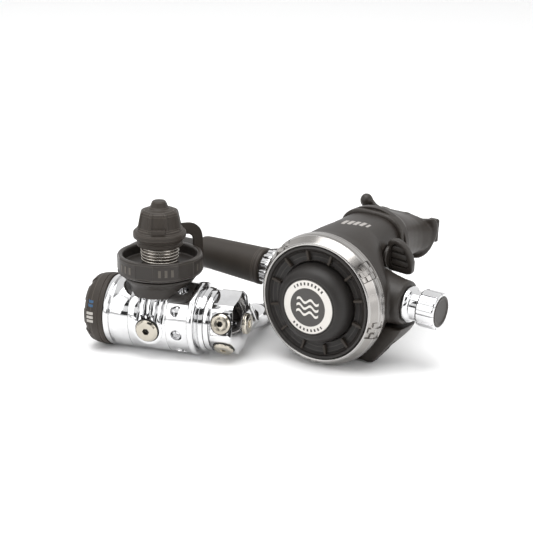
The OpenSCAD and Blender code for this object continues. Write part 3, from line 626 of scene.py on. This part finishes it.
# the hand wheel: lengths in millimetres, its bars' size and circle in metres, the bars' gap in radians
wheel = {"foot": 26.2, "flats": 6, "flatTurn": 30, "flatHalf": 5.2, "flatReach": 24.1, "flatFrom": 1.6,
         "flatRadius": 23.2, "bars": 42, "barSize": (0.0009, 0.0016, 0.0042), "barCircle": 0.0247,
         "barHeight": 32.2, "barGap": 0.27, "outline": [
    (10.7, 0), (22.6, 0), (24.4, 0.6), (25, 1.9), (25, 10.2), (24.4, 11.4), (23.2, 11.6), (22, 11.3),
    (21.6, 10.3), (21.4, 5.6), (20.8, 5.2), (10.7, 5.2)]}


def fromFlat(angle):
    # how far an angle stands from the middle of the nearest flat
    step = 2 * math.pi / wheel["flats"]
    return (angle - math.radians(wheel["flatTurn"]) + step / 2) % step - step / 2


def flatWarp(angles, r, z):
    away = fromFlat(angles)
    flat = wheel["flatReach"] / np.cos(away)
    inside = ((np.abs(flat * np.sin(away)) < wheel["flatHalf"]) & (z > wheel["flatFrom"])
              & (r > wheel["flatRadius"]))
    return np.where(inside, np.minimum(r, flat), r), z


wheelRim = turned("hand_wheel", wheel["outline"], firstPlace @ shift(0, 0, wheel["foot"]), 420, 0.5,
                  closed=True, longest=0.6, warp=flatWarp, angle=28)
hand(wheelRim, "connector", "plastic", "connector_plastic", "din_wheel")


def gripBars(g, wires):
    bar = g.node("GeometryNodeMeshCube", {}, {"Size": wheel["barSize"]})
    return aroundCircle(g, wires, bar)


bars = nodeRun("wheel_grip_bars", gripBars, {
    "Count": wheel["bars"], "Circle radius": wheel["barCircle"]}, "plastic")
barPlace = firstPlace @ shift(0, 0, wheel["barHeight"])
# no bars on the flats
keep = bmesh.new()
keep.from_mesh(bars.data)
gone = [v for v in keep.verts if abs(fromFlat(math.atan2(v.co.y, v.co.x))) < wheel["barGap"]]
bmesh.ops.delete(keep, geom=gone, context="VERTS")
keep.to_mesh(bars.data)
keep.free()
bars.data.transform(barPlace)
hand(bars, "connector", "print", "connector_plastic")

# the connector's thread: its ridge and tooth in metres, its other lengths in millimetres
stud = {"core": 10.35, "pitch": 1.814, "start": 33.6, "turns": 9.6, "ridge": 0.0105, "tooth": 0.0009}
core = turned("connector_core", [
    (3.6, 15), (8.3, 15), (8.3, 26), (stud["core"], 26.1), (stud["core"], 51.6), (9.8, 52.45), (8.7, 52.45),
    (8.7, 51), (6.6, 51), (6.6, 52.45), (5.7, 52.45), (5.7, 45.6), (3.6, 45.5)],
    firstPlace, 160, 0.15, closed=True)
hand(core, "connector", "thread", "connector_metal", "din_stud")


def threadRidge(g, wires):
    spiral = g.node("GeometryNodeCurveSpiral", {}, {
        "Resolution": 96, "Rotations": wires["Turns"], "Start Radius": wires["Radius"],
        "End Radius": wires["Radius"], "Height": wires["Height"]})
    tooth = g.node("GeometryNodeCurvePrimitiveCircle", {"mode": "RADIUS"}, {
        "Resolution": 4, "Radius": wires["Tooth"]})
    return g.node("GeometryNodeCurveToMesh", {}, {
        "Curve": spiral, "Profile Curve": tooth, "Fill Caps": True})


ridge = nodeRun("connector_thread", threadRidge, {
    "Turns": stud["turns"], "Radius": stud["ridge"], "Height": stud["turns"] * stud["pitch"] * mm,
    "Tooth": stud["tooth"]}, "thread")
ridge.data.transform(firstPlace @ shift(0, 0, stud["start"]))
hand(ridge, "connector", "thread", "connector_metal")

capShape = {"foot": 42.6, "facets": 8, "turned": 71, "panelDeep": 0.75, "panelHalf": 19, "panelSoft": 3,
            "panelLow": 9.8, "panelHigh": 21.8, "panelRadius": 8, "outline": [
    (11.8, 0), (13.2, 0), (13.4, 0.6), (13.4, 1.6), (12.9, 2.0), (12.9, 2.6), (13.5, 3.0), (13.6, 4.3),
    (15.2, 4.8), (15.4, 5.6), (15.4, 7.6), (15.1, 8.3), (13.6, 8.9), (13.5, 10.2), (13.2, 11.2),
    (11.6, 18.8), (10.9, 20.2, 0.9), (9.0, 21.2, 0.8), (6.3, 21.6), (5.3, 22.6), (4.1, 25.6, 0.3),
    (3.5, 26.2, 0.3), (0, 26.25)]}


def facetWarp(angles, r, z):
    # sunk panels between the ribs of the cap's cone
    step = 2 * math.pi / capShape["facets"]
    away = (angles + math.radians(capShape["turned"]) + step / 2) % step - step / 2
    share = (np.clip((z - capShape["panelLow"]) / 0.8, 0, 1)
             * np.clip((capShape["panelHigh"] - z) / 1.6, 0, 1))
    inside = (math.radians(capShape["panelHalf"]) - np.abs(away)) / math.radians(capShape["panelSoft"])
    panel = capShape["panelDeep"] * np.clip(inside, 0, 1)
    return r - share * panel * (r > capShape["panelRadius"]), z


dustCap = turned("protective_cap_shell", capShape["outline"] + [(0, 20), (11.8, 12)],
                 firstPlace @ shift(0, 0, capShape["foot"]), 240, 0.45, longest=0.7,
                 warp=facetWarp, angle=24)
hand(dustCap, "protective_cap", "rubber", "cap_rubber", "din_cap")


def block(name, size, place, bevel):
    half = [s / 2 * mm for s in size]
    corners = [(x, y, z) for x in (-half[0], half[0]) for y in (-half[1], half[1])
               for z in (-half[2], half[2])]
    faces = [(0, 1, 3, 2), (4, 6, 7, 5), (0, 4, 5, 1), (2, 3, 7, 6), (0, 2, 6, 4), (1, 5, 7, 3)]
    piece = addMesh(name, corners, faces)
    edge = piece.modifiers.new("edge", "BEVEL")
    edge.width, edge.segments = bevel * mm, 3
    frozen(piece)
    piece.data.transform(place)
    tidy(piece, 40)
    return piece


hand(block("protective_cap_lug", (8.4, 3.4, 2.8), firstPlace @ turn("Z", 19) @ shift(0, -12.5, 53.4), 0.6),
     "protective_cap", "rubber", "cap_rubber")

# the rise is in metres, the other lengths are in millimetres
strapShape = {"width": 7, "thickness": 1.6, "corner": 0.7, "turned": 57,
              "foot": (27.2, 0, 30), "rise": 0.0165}
strapPath = smoothPath([(19, 0, 25.55), (23.5, 0, 25.5), (26.4, 0, 26.6), (27.2, 0, 29.5), (27.2, 0, 35),
                        (27.1, 0, 40.5), (26.3, 0, 44.4), (24, 0, 47), (20.6, 0, 48.5), (15, 0, 49.2)], 1.0)


def flatSection(across, over, corner, steps=4):
    section = []
    for sx, sy, start in ((1, 1, 0), (-1, 1, 90), (-1, -1, 180), (1, -1, 270)):
        for k in range(steps + 1):
            a = math.radians(start + 90 * k / steps)
            section.append((sx * (across / 2 - corner) + corner * math.cos(a),
                            sy * (over / 2 - corner) + corner * math.sin(a)))
    return section


strapPlace = firstPlace @ turn("Z", strapShape["turned"])
strapSection = flatSection(strapShape["width"], strapShape["thickness"], strapShape["corner"])
strap = sweep("cap_strap_band", strapPath, strapSection, strapPlace, up=(0, 1, 0))
hand(strap, None, "rubber", "cap_rubber", "cap_strap")
strapFoot = Vector(strapPlace @ (Vector(strapShape["foot"]) * mm))
strapTop = Vector((strapFoot.x, strapFoot.y, strapFoot.z + strapShape["rise"]))
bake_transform(strap, "first_stage", "protective_cap", start=strapFoot, end=strapTop)
strapRing = turned("cap_strap_ring", [(9.6, 25.15), (20.6, 25.15), (20.6, 25.9), (9.6, 25.9)], firstPlace,
                   120, 0.2, closed=True)
hand(strapRing, "first_stage", "rubber", "cap_rubber")
print("first stage dressed")

# hose protector
sleeveShape = {"start": -52, "outline": [
    (5.85, 46), (5.85, 20), (7.9, 20), (7.9, 0), (10.0, 0), (10.9, 0.4), (11.2, 1.4), (11.2, 3.2),
    (11.0, 4.4), (10.75, 12, 0), (9.9, 34, 0), (9.4, 43.2, 0), (8.9, 45.3), (7.9, 46)]}
sleevePlace = barrelPlace @ shift(sleeveShape["start"], 0, 0) @ turn("Y", -90)
sleeve = turned("hose_protector", sleeveShape["outline"], sleevePlace, 160, 0.5, closed=True, longest=3)
hand(sleeve, "first_stage", "rubber", "cap_rubber", "hose_sleeve")

# front of the second stage
ringShape = {"groups": (40, 133, -14, -97), "cell": 5.4, "columns": 3, "deep": 0.8, "line": 0.55,
             "groove": 0.95, "rows": (-6.4, -4.1, -1.5, 3.0), "perDegree": 0.66, "outline": [
    (33.5, -6.5), (34.4, -7.0), (35.3, -6.6), (38.3, -1.6), (38.85, 0.4), (39, 1.6), (39, 4.4), (38.4, 5.2),
    (37.05, 5.2), (37.05, 0.5), (33.5, -0.3)]}


def notchWarp(angles, r, z):
    # chequered tiles with a fine groove round each, in four groups
    up = -np.degrees(angles)
    rows = ringShape["rows"]
    row = 0 if z[0] < rows[1] else 1 if z[0] < rows[2] else 2
    rowEdge = min(abs(z[0] - edge) for edge in rows)
    for group in ringShape["groups"]:
        away = (up - group + 180) % 360 - 180
        place = away / ringShape["cell"] + ringShape["columns"] / 2
        column = np.floor(place)
        within = (column >= 0) & (column < ringShape["columns"]) & (z > -6.6) & (z < 3.2) & (r > 34.6)
        edge = np.minimum(place - column, column + 1 - place) * ringShape["cell"] * ringShape["perDegree"]
        line = (edge < ringShape["line"] / 2) | (rowEdge < ringShape["line"] / 2)
        tiles = np.where((column + row) % 2 == 0, ringShape["deep"], 0)
        sunk = np.where(line, ringShape["groove"], tiles) * within
        r = r - sunk * 0.85
        z = z + sunk * 0.45 * (row < 2)
    return r, z


ring = turned("front_ring_band", ringShape["outline"], secondPlace @ alongY, 1080, 0.5, closed=True,
              longest=0.3, warp=notchWarp, angle=26)
hand(ring, "second_stage", "ring", "ring_metal", "front_ring")

coverShape = {"ribs": 12, "ribForward": -4.6, "ribTurn": 15, "outline": [
    (23.7, 0.2), (23.7, -3.6), (24.6, -3.9), (27.0, -4.0), (29.4, -4.6), (30.8, -5.8), (31.6, -7.0),
    (32.4, -7.4), (33.2, -6.8), (33.2, -0.8), (36.7, -0.6), (36.7, 0.4)]}
cover = turned("purge_cover_skin", coverShape["outline"], secondPlace @ alongY, 240, 0.7, closed=True,
               longest=1)
hand(cover, "second_stage", "cover", "cover_rubber", "purge_cover")


def coverRibs(g, wires):
    size = g.node("ShaderNodeCombineXYZ", {}, {
        0: wires["Rib length"], 1: wires["Rib width"], 2: wires["Rib height"]})
    rib = g.node("GeometryNodeMeshCube", {}, {
        "Size": size, "Vertices X": 5, "Vertices Y": 3, "Vertices Z": 4})
    rib = g.node("GeometryNodeSubdivisionSurface", {}, {"Mesh": rib, "Level": 2, "Edge Crease": 0.25})
    return aroundCircle(g, wires, rib)


ribs = nodeRun("purge_cover_ribs", coverRibs, {
    "Count": coverShape["ribs"], "Circle radius": 0.0279, "Rib length": 0.0064, "Rib width": 0.0015,
    "Rib height": 0.0036}, "cover")
ribs.data.transform(secondPlace @ shift(0, coverShape["ribForward"], 0) @ alongY
                    @ turn("Z", coverShape["ribTurn"]))
ribs.data.shade_smooth()
hand(ribs, "second_stage", "rubber", "cover_rubber")

# the button's shell: a flat seat for the emblem, a quarter of an ellipse, and a hollow back
buttonShape = {"flat": 17.3, "bulge": 6.1, "shoulder": -3.2, "rise": 11.5, "step": 5,
               "seat": [(0, -12.6), (0, -13.95), (16.45, -13.95), (16.6, -14.6, 0.1), (17.3, -14.7, 0.3)],
               "back": [(23.4, -1), (21.9, -1), (21.6, -6), (19.6, -10.6), (17, -12.5), (0, -12.6)]}
domeAngles = [math.radians(buttonShape["step"] * i) for i in range(1, 19)]
domeLine = [(buttonShape["flat"] + buttonShape["bulge"] * math.sin(a),
             buttonShape["shoulder"] - buttonShape["rise"] * math.cos(a), 0) for a in domeAngles]
button = turned("purge_button_dome", buttonShape["seat"] + domeLine + buttonShape["back"],
                secondPlace @ alongY, 240, 0.3, longest=1)
hand(button, "purge", "cover", "cover_rubber", "purge_button")
plate = turned("emblem_face", [(0, -14.05), (16.3, -14.05), (16.3, -14.7, 0.25), (10, -15.35, 2),
                               (0, -15.6)],
               secondPlace @ alongY, 160, 0.3, longest=1)
hand(plate, "purge", "emblem", "emblem_plate", "emblem")
print("front made")


# moulded pieces are closed shapes grown together and smoothed
def loft(name, sections, place, count=72, power=2.0):
    # sections are (x, y, z, half width, half height), with a power of their own if given, upright to Y
    points, faces = [], []
    for x, y, z, a, b, *own in sections:
        squareness = own[0] if own else power
        for k in range(count):
            t = 2 * math.pi * k / count
            c, s = math.cos(t), math.sin(t)
            points.append(((x + a * math.copysign(abs(c) ** (2 / squareness), c)) * mm, y * mm,
                           (z + b * math.copysign(abs(s) ** (2 / squareness), s)) * mm))
    for i in range(len(sections) - 1):
        for k in range(count):
            a, b = i * count + k, i * count + (k + 1) % count
            faces.append((a, b, b + count, a + count))
    faces += [tuple(range(count))[::-1], tuple(range(len(points) - count, len(points)))]
    piece = addMesh(name, points, faces, place)
    tidy(piece, 60)
    return piece


def grownTogether(name, shapes, voxel, rounds, cuts=()):
    work = bmesh.new()
    for shape in shapes:
        work.from_mesh(shape.data)
        bpy.data.objects.remove(shape)
    piece = addMesh(name, [], [])
    work.to_mesh(piece.data)
    work.free()
    skin = piece.modifiers.new("skin", "REMESH")
    skin.mode, skin.voxel_size = "VOXEL", voxel * mm
    frozen(piece)
    soft = piece.modifiers.new("soft", "SMOOTH")
    soft.factor, soft.iterations = 0.5, rounds
    frozen(piece)
    for cut in cuts:
        bore = piece.modifiers.new("cut", "BOOLEAN")
        bore.object, bore.operation, bore.solver = cut, "DIFFERENCE", "EXACT"
        frozen(piece)
        bpy.data.objects.remove(cut)
    for layer in list(piece.data.attributes):
        if layer.name.startswith("wear"):
            piece.data.attributes.remove(layer)
    piece.data.shade_smooth()
    piece.data.set_sharp_from_angle(angle=math.radians(50))
    return piece


caseShape = {"ring": 37.0, "ringEnd": 13, "waist": (31, 14.5, 20.8, 23.6), "neck": (52, 21.5, 19.0, 15.9),
             "square": 2.8, "voxel": 0.8, "steps": 8, "end": 61.8, "endSquare": 2.4}
caseSections = [(0, y, 0, caseShape["ring"], caseShape["ring"], 2.0)
                for y in (0.6, 4, 8, 11, caseShape["ringEnd"])]
caseSteps = [(caseShape["ringEnd"], 0, caseShape["ring"], caseShape["ring"], 2.0)]
caseSteps += [(*caseShape[name], caseShape["square"]) for name in ("waist", "neck")]
for low, high in zip(caseSteps, caseSteps[1:]):
    for i in range(1, caseShape["steps"] + 1):
        y, z, a, b, square = (u + (v - u) * i / caseShape["steps"] for u, v in zip(low, high))
        caseSections.append((0, y, z, a, b, square))
caseSections.append((0, caseShape["end"], *caseShape["neck"][1:], caseShape["endSquare"]))
bossLine = [(0, -40.6), (11.8, -40.6), (12.6, -39.9), (13, -38), (13.6, -30), (16, -20), (19, -8), (19, 8),
            (17.4, 20), (14.4, 32), (13.2, 38), (13.0, 42.2), (12.3, 43.3), (0, 43.3)]
neckBore = [(0, 40, 18, 12, 9), (0, 50, 21.5, 16.2, 12.6), (0, 70, 21.5, 16.4, 12.8)]
case = grownTogether("case_shell", [
    loft("case_body", caseSections, secondPlace),
    turned("case_boss", bossLine, barrelPlace @ alongX, 96, 0.4, longest=4),
    turned("lever_boss", [(0, 8), (10, 8), (8.6, 15), (7.6, 19), (6.8, 20.2), (0, 20.2)],
           secondPlace @ shift(0, 38, 21) @ alongX, 64, 0.3, longest=2)],
    caseShape["voxel"], 5,
    cuts=[turned("front_well", [(0, -3), (34.6, -3), (34.6, 9), (0, 9)], secondPlace @ alongY, 120, 0),
          loft("neck_bore", neckBore, secondPlace),
          turned("barrel_bore", [(0, -46), (8.6, -46), (8.6, -36), (0, -36)], barrelPlace @ alongX, 64, 0)])
hand(case, "second_stage", "markedCase", "case_plastic", "case")
caseRim = turned("case_rim", [(36.6, 5.6), (38.1, 5.7), (38.2, 7.6), (36.6, 8.2)],
                 secondPlace @ alongY, 200, 0.5, closed=True)
hand(caseRim, "second_stage", "plastic", "case_plastic")

# the exhaust outlet, cut across at each (y, half width, lowest point)
teeShape = {"top": -12.5, "shoulder": -18, "shoulderShare": 0.93, "footHalf": 27, "slices": [
    (15, 44, -37), (20, 44.5, -37.3), (26, 45, -36), (31, 45, -33), (34, 44, -29)]}


def teeSlice(y, half, low):
    top, shoulder, foot = teeShape["top"], teeShape["shoulder"], teeShape["footHalf"]
    inner = half * teeShape["shoulderShare"]
    return [(-half, y, top), (-inner, y, shoulder), (-foot, y, low), (foot, y, low), (inner, y, shoulder),
            (half, y, top)]


def facetedLoft(name, slices, place):
    points = [(x * mm, y * mm, z * mm) for piece in slices for x, y, z in piece]
    sides = len(slices[0])
    faces = [(i * sides + k, i * sides + (k + 1) % sides, (i + 1) * sides + (k + 1) % sides,
              (i + 1) * sides + k) for i in range(len(slices) - 1) for k in range(sides)]
    faces += [tuple(range(sides))[::-1], tuple(range(len(points) - sides, len(points)))]
    piece = addMesh(name, points, faces, place)
    tidy(piece, 30)
    return piece


teeBody = facetedLoft("tee_body", [teeSlice(*t) for t in teeShape["slices"]], secondPlace)
teeDuct = block("tee_duct", (120, 11, 8), secondPlace @ shift(0, 24, -26.5), 2)
tee = grownTogether("exhaust_outlet", [teeBody], 0.8, 4, cuts=[teeDuct])
hand(tee, "second_stage", "silicone", "cover_rubber", "exhaust_tee")
print("case made")

# mouthpiece
lipShape = {"y": 87.6, "centre": (0, 19), "thick": 2.6, "rounds": 16, "bow": 3.2, "bowHalf": 25,
            "cup": 1.4, "cupHalf": 14, "edge": [
    (23.5, 30.8), (25.6, 27), (25.2, 19), (20.6, 8), (13.4, 4), (0, 5.2), (-13.4, 4), (-20.6, 8),
    (-25, 19), (-25.8, 28), (-24.6, 34), (-21.8, 36.4), (-18.8, 35), (-15.6, 32.2), (-9, 31),
    (-3.6, 30.4), (2, 31.2), (6.5, 32), (9.4, 30.8), (12.4, 29.4), (18, 29.8)]}


def lipSheet(look):
    # a bowed sheet with a thick rim, its edge running through the corners given
    corners = [np.array((x, z, 0.0)) for x, z in look["edge"]]
    around = smoothPath(corners + corners[:1], 1.6)[:-1]
    centre = np.array(look["centre"])
    count, rounds = len(around), look["rounds"]
    points, faces = [], []
    for side in (-1, 1):
        for i in range(rounds + 1):
            p = i / rounds
            half = look["thick"] / 2 * (1 + 0.5 * p ** 6) * (1 - max(0, p - 0.93) * 7)
            for spot in around:
                x, z = centre + (spot[:2] - centre) * p
                y = (look["y"] + look["bow"] * (x / look["bowHalf"]) ** 2
                     - look["cup"] * ((z - centre[1]) / look["cupHalf"]) ** 2 * p)
                points.append((x * mm, (y + side * half) * mm, z * mm))
    layer = (rounds + 1) * count
    for side in (0, 1):
        for i in range(rounds):
            for k in range(count):
                a, b = side * layer + i * count + k, side * layer + i * count + (k + 1) % count
                faces.append((a, b, b + count, a + count))
    for k in range(count):
        a, b = rounds * count + k, rounds * count + (k + 1) % count
        faces.append((a, b, b + layer, a + layer))
    piece = addMesh("lip_sheet", points, faces, secondPlace)
    tidy(piece, 60)
    return piece


mouthShapes = [lipSheet(lipShape), loft("mouth_neck", [
    (0, 54, 21.5, 20.6, 17.4), (0, 54.6, 21.5, 21.3, 18.0), (0, 61, 21.5, 21.2, 17.9),
    (0, 63, 21.3, 20.4, 17.0), (0, 67, 21, 20.0, 16.4), (0, 72, 20.6, 19.8, 15.0),
    (0, 77, 20, 20.0, 13.8), (0, 82, 19.4, 20.8, 12.8),
    (0, 86, 19, 22.4, 12.6), (0, 88.5, 19, 23.2, 12.4)], secondPlace, power=2.8)]
nub = turned("lip_nub", [(0, -4.4), (2.2, -3.8), (3.6, -2), (4, 0), (3.6, 2), (2.2, 3.8), (0, 4.4)],
             secondPlace @ shift(-21.9, 87.6, 33.2), 48, 0.5)
mouthShapes.append(nub)
bite = {"side": 17, "height": 18.6, "stalk": (6.4, 16, 5.4), "stalkY": 97,
        "pad": (7.0, 3.2, 15), "padY": 103.2}
for side in (-1, 1):
    stalkPlace = secondPlace @ shift(side * bite["side"], bite["stalkY"], bite["height"])
    padPlace = secondPlace @ shift(side * bite["side"], bite["padY"], bite["height"])
    mouthShapes.append(block("bite_stalk", bite["stalk"], stalkPlace, 1.4))
    mouthShapes.append(block("bite_pad", bite["pad"], padPlace, 1.3))
mouth = grownTogether("mouthpiece_moulding", mouthShapes, 0.75, 4, cuts=[
    loft("mouth_bore", [(0, 53, 21.5, 18.9, 15.8), (0, 61.6, 21.5, 18.9, 15.8), (0, 62, 21.5, 16.6, 13),
                        (0, 80, 19.4, 13.6, 7.4), (0, 98, 18.6, 13.0, 6.4)], secondPlace)])
hand(mouth, "second_stage", "silicone", "silicone_dark", "mouthpiece")
tiePlace = secondPlace @ shift(0, 57, 21.5) @ alongY @ Matrix.Diagonal((1, 0.86, 1, 1))
tie = turned("mouthpiece_band", [(21.4, 0), (22.6, 0), (22.8, 0.5), (22.8, 3.4), (22.6, 4), (21.4, 4)],
             tiePlace, 160, 0.3, closed=True)
hand(tie, "second_stage", "plastic", "tie_plastic", "mouthpiece_tie")
hand(block("mouthpiece_band_head", (6.4, 5.4, 3.6), secondPlace @ shift(0, 59, 0.6), 0.6),
     "second_stage", "plastic", "tie_plastic")
print("mouthpiece made")

# lever beside the mouthpiece
leverShape = {"thick": (35.7, 40.3), "wellDepth": 1.6, "edge": [
    (21.2, 29.8), (23.0, 31.8), (26.6, 32.3), (30.4, 30.8), (33.6, 28.0), (36.2, 24.4), (37.7, 20.4),
    (37.7, 15.0), (36.8, 13.5), (34.4, 12.9), (25.4, 13.2), (22.4, 14.0), (21.2, 15.6)], "well": [
    (23.6, 27.8), (25.2, 29.9), (27.4, 30.1), (30.4, 28.8), (33.0, 25.4), (34.8, 21.4), (35.4, 18.2),
    (34.8, 16.6), (25.4, 16.4), (23.6, 18.4)]}


def platePiece(name, edge, yLow, yHigh, bevel):
    count = len(edge)
    points = [(x * mm, y * mm, z * mm) for y in (yLow, yHigh) for x, z in edge]
    faces = [tuple(range(count)), tuple(range(count, 2 * count))[::-1]]
    faces += [(k, k + count, (k + 1) % count + count, (k + 1) % count) for k in range(count)]
    piece = addMesh(name, points, faces)
    tidy(piece, 30)
    if bevel:
        soft = piece.modifiers.new("edge", "BEVEL")
        soft.width, soft.segments, soft.limit_method = bevel * mm, 3, "ANGLE"
        soft.angle_limit = math.radians(50)
        frozen(piece)
    piece.data.transform(secondPlace)
    tidy(piece, 35)
    return piece


lever = platePiece("lever_plate", leverShape["edge"], *leverShape["thick"], 0.9)
well = platePiece("lever_well", leverShape["well"], 34, leverShape["thick"][0] + leverShape["wellDepth"], 0)
hollow = lever.modifiers.new("well", "BOOLEAN")
hollow.object, hollow.operation, hollow.solver = well, "DIFFERENCE", "EXACT"
frozen(lever)
bpy.data.objects.remove(well)
tidy(lever, 35)
hand(lever, "venturi", "plastic", "case_plastic", "venturi_lever")
for i, (height, left, right) in enumerate(((26.6, 23.8, 31.6), (22.4, 23.8, 33.8), (18.4, 24.0, 34.8))):
    grip = block("lever_grip_%d" % i, (right - left, 1.7, 3.0),
                 secondPlace @ shift((left + right) / 2, 37.3, height) @ turn("Y", 4) @ turn("X", -14), 0.4)
    hand(grip, "venturi", "plastic", "case_plastic")
hubLine = [(0, 12), (3, 12), (3, 20.9), (6.4, 20.9), (6.9, 21.3), (6.9, 22.7), (6.3, 23.1), (0, 23.1)]
hub = turned("lever_hub", hubLine, secondPlace @ shift(0, 38, 21) @ alongX, 80, 0.3)
hand(hub, "venturi", "plastic", "case_plastic")

# adjusting knob
knobShape = {"flutes": 12, "half": 1.7, "soft": 0.6, "deep": 1.0, "from": 9.4, "outline": [
    (0, 52.4), (9.2, 52.4), (10.4, 52.8), (10.9, 53.6), (11, 54.6), (11, 63.2), (10.7, 63.9),
    (10.0, 64.2), (9, 64.2), (9, 63.45), (0, 63.45)], "face": [
    (0, 63.5), (8.85, 63.5), (8.85, 64.3, 0.2), (8.2, 64.6), (7, 64.2, 0.2), (6.8, 64.0, 0.2), (0, 64.1)]}


def fluteWarp(angles, r, z):
    step = 360 / knobShape["flutes"]
    away = np.abs((np.degrees(angles) + step / 2) % step - step / 2)
    soft = knobShape["soft"]
    depth = knobShape["deep"] * np.clip((knobShape["half"] + soft - away) / soft, 0, 1)
    return r - depth * (r > knobShape["from"]), z


knob = turned("adjusting_knob", knobShape["outline"], barrelPlace @ alongX, 720, 0.3, longest=1.2,
              warp=fluteWarp, angle=30)
hand(knob, "knob", "chrome", "chrome_small", "adjust_knob")
badge = turned("knob_face", knobShape["face"], barrelPlace @ alongX, 96, 0.3)
hand(badge, "knob", "plastic", "badge_plastic", "knob_badge")
print("second stage dressed")


# floor and light
def stageFinish(name, colour, rough):
    material, m, shader = newFinish(name)
    spot = m.node("ShaderNodeTexCoord", out=3)
    tone = m.blend(m.noise(spot, 3.0) * 0.2, rgb(colour), rgb([c * 0.98 for c in colour]))
    join(m, tone, shader, "Base Color")
    shader.inputs["Roughness"].default_value = rough
    return material


studio = {"floor": (0.97, 0.97, 0.97), "world": 1.0, "bands": 0.04}
bpy.context.scene.view_settings.view_transform = "Standard"
floor = addMesh("floor", [(-9, -9, 0), (9, -9, 0), (9, 9, 0), (-9, 9, 0)], [(0, 1, 2, 3)])
floor.data.materials.append(stageFinish("floorFinish", studio["floor"], 0.9))


def softLight(name, where, target, size, power):
    lamp = bpy.data.objects.new(name, bpy.data.lights.new(name, "AREA"))
    bpy.context.scene.collection.objects.link(lamp)
    lamp.data.shape, lamp.data.size, lamp.data.size_y = "RECTANGLE", size[0], size[1]
    lamp.data.energy = power
    lamp.location = where
    lamp.rotation_euler = (Vector(target) - Vector(where)).to_track_quat("-Z", "Y").to_euler()


softLight("topLight", (-0.1, -0.15, 1.1), (0, 0, 0.03), (1.1, 0.8), 10)
softLight("leftLight", (-1.0, -0.7, 0.7), (0, 0, 0.05), (0.9, 1.3), 6)
softLight("rightLight", (0.9, -0.8, 0.45), (0.03, 0, 0.05), (0.7, 1.1), 4)

# the room: bright all round, with a dark band low in front and above for the metal to mirror
world = bpy.data.worlds.new("studioRoom")
bpy.context.scene.world = world
world.use_nodes = True
w = Maker(world.node_tree)
heading = w.node("ShaderNodeTexCoord", out=0)
east, north, height = parts(w, heading)
low = w.ramp(height, 0.03, 0.06) * (1 - w.ramp(height, 0.22, 0.27))
high = w.ramp(height, 0.50, 0.54) * (1 - w.ramp(height, 0.78, 0.82))
front = 1 - w.ramp(north, -0.2, 0.1)
shade = (low + high) * front
room = w.node("ShaderNodeMapRange", {}, {
    "Value": shade, "To Min": studio["world"], "To Max": studio["bands"]})
background = world.node_tree.nodes["Background"]
w.tree.links.new(room.socket, background.inputs["Strength"])
background.inputs["Color"].default_value = (1, 1, 1, 1)
print("studio lit")
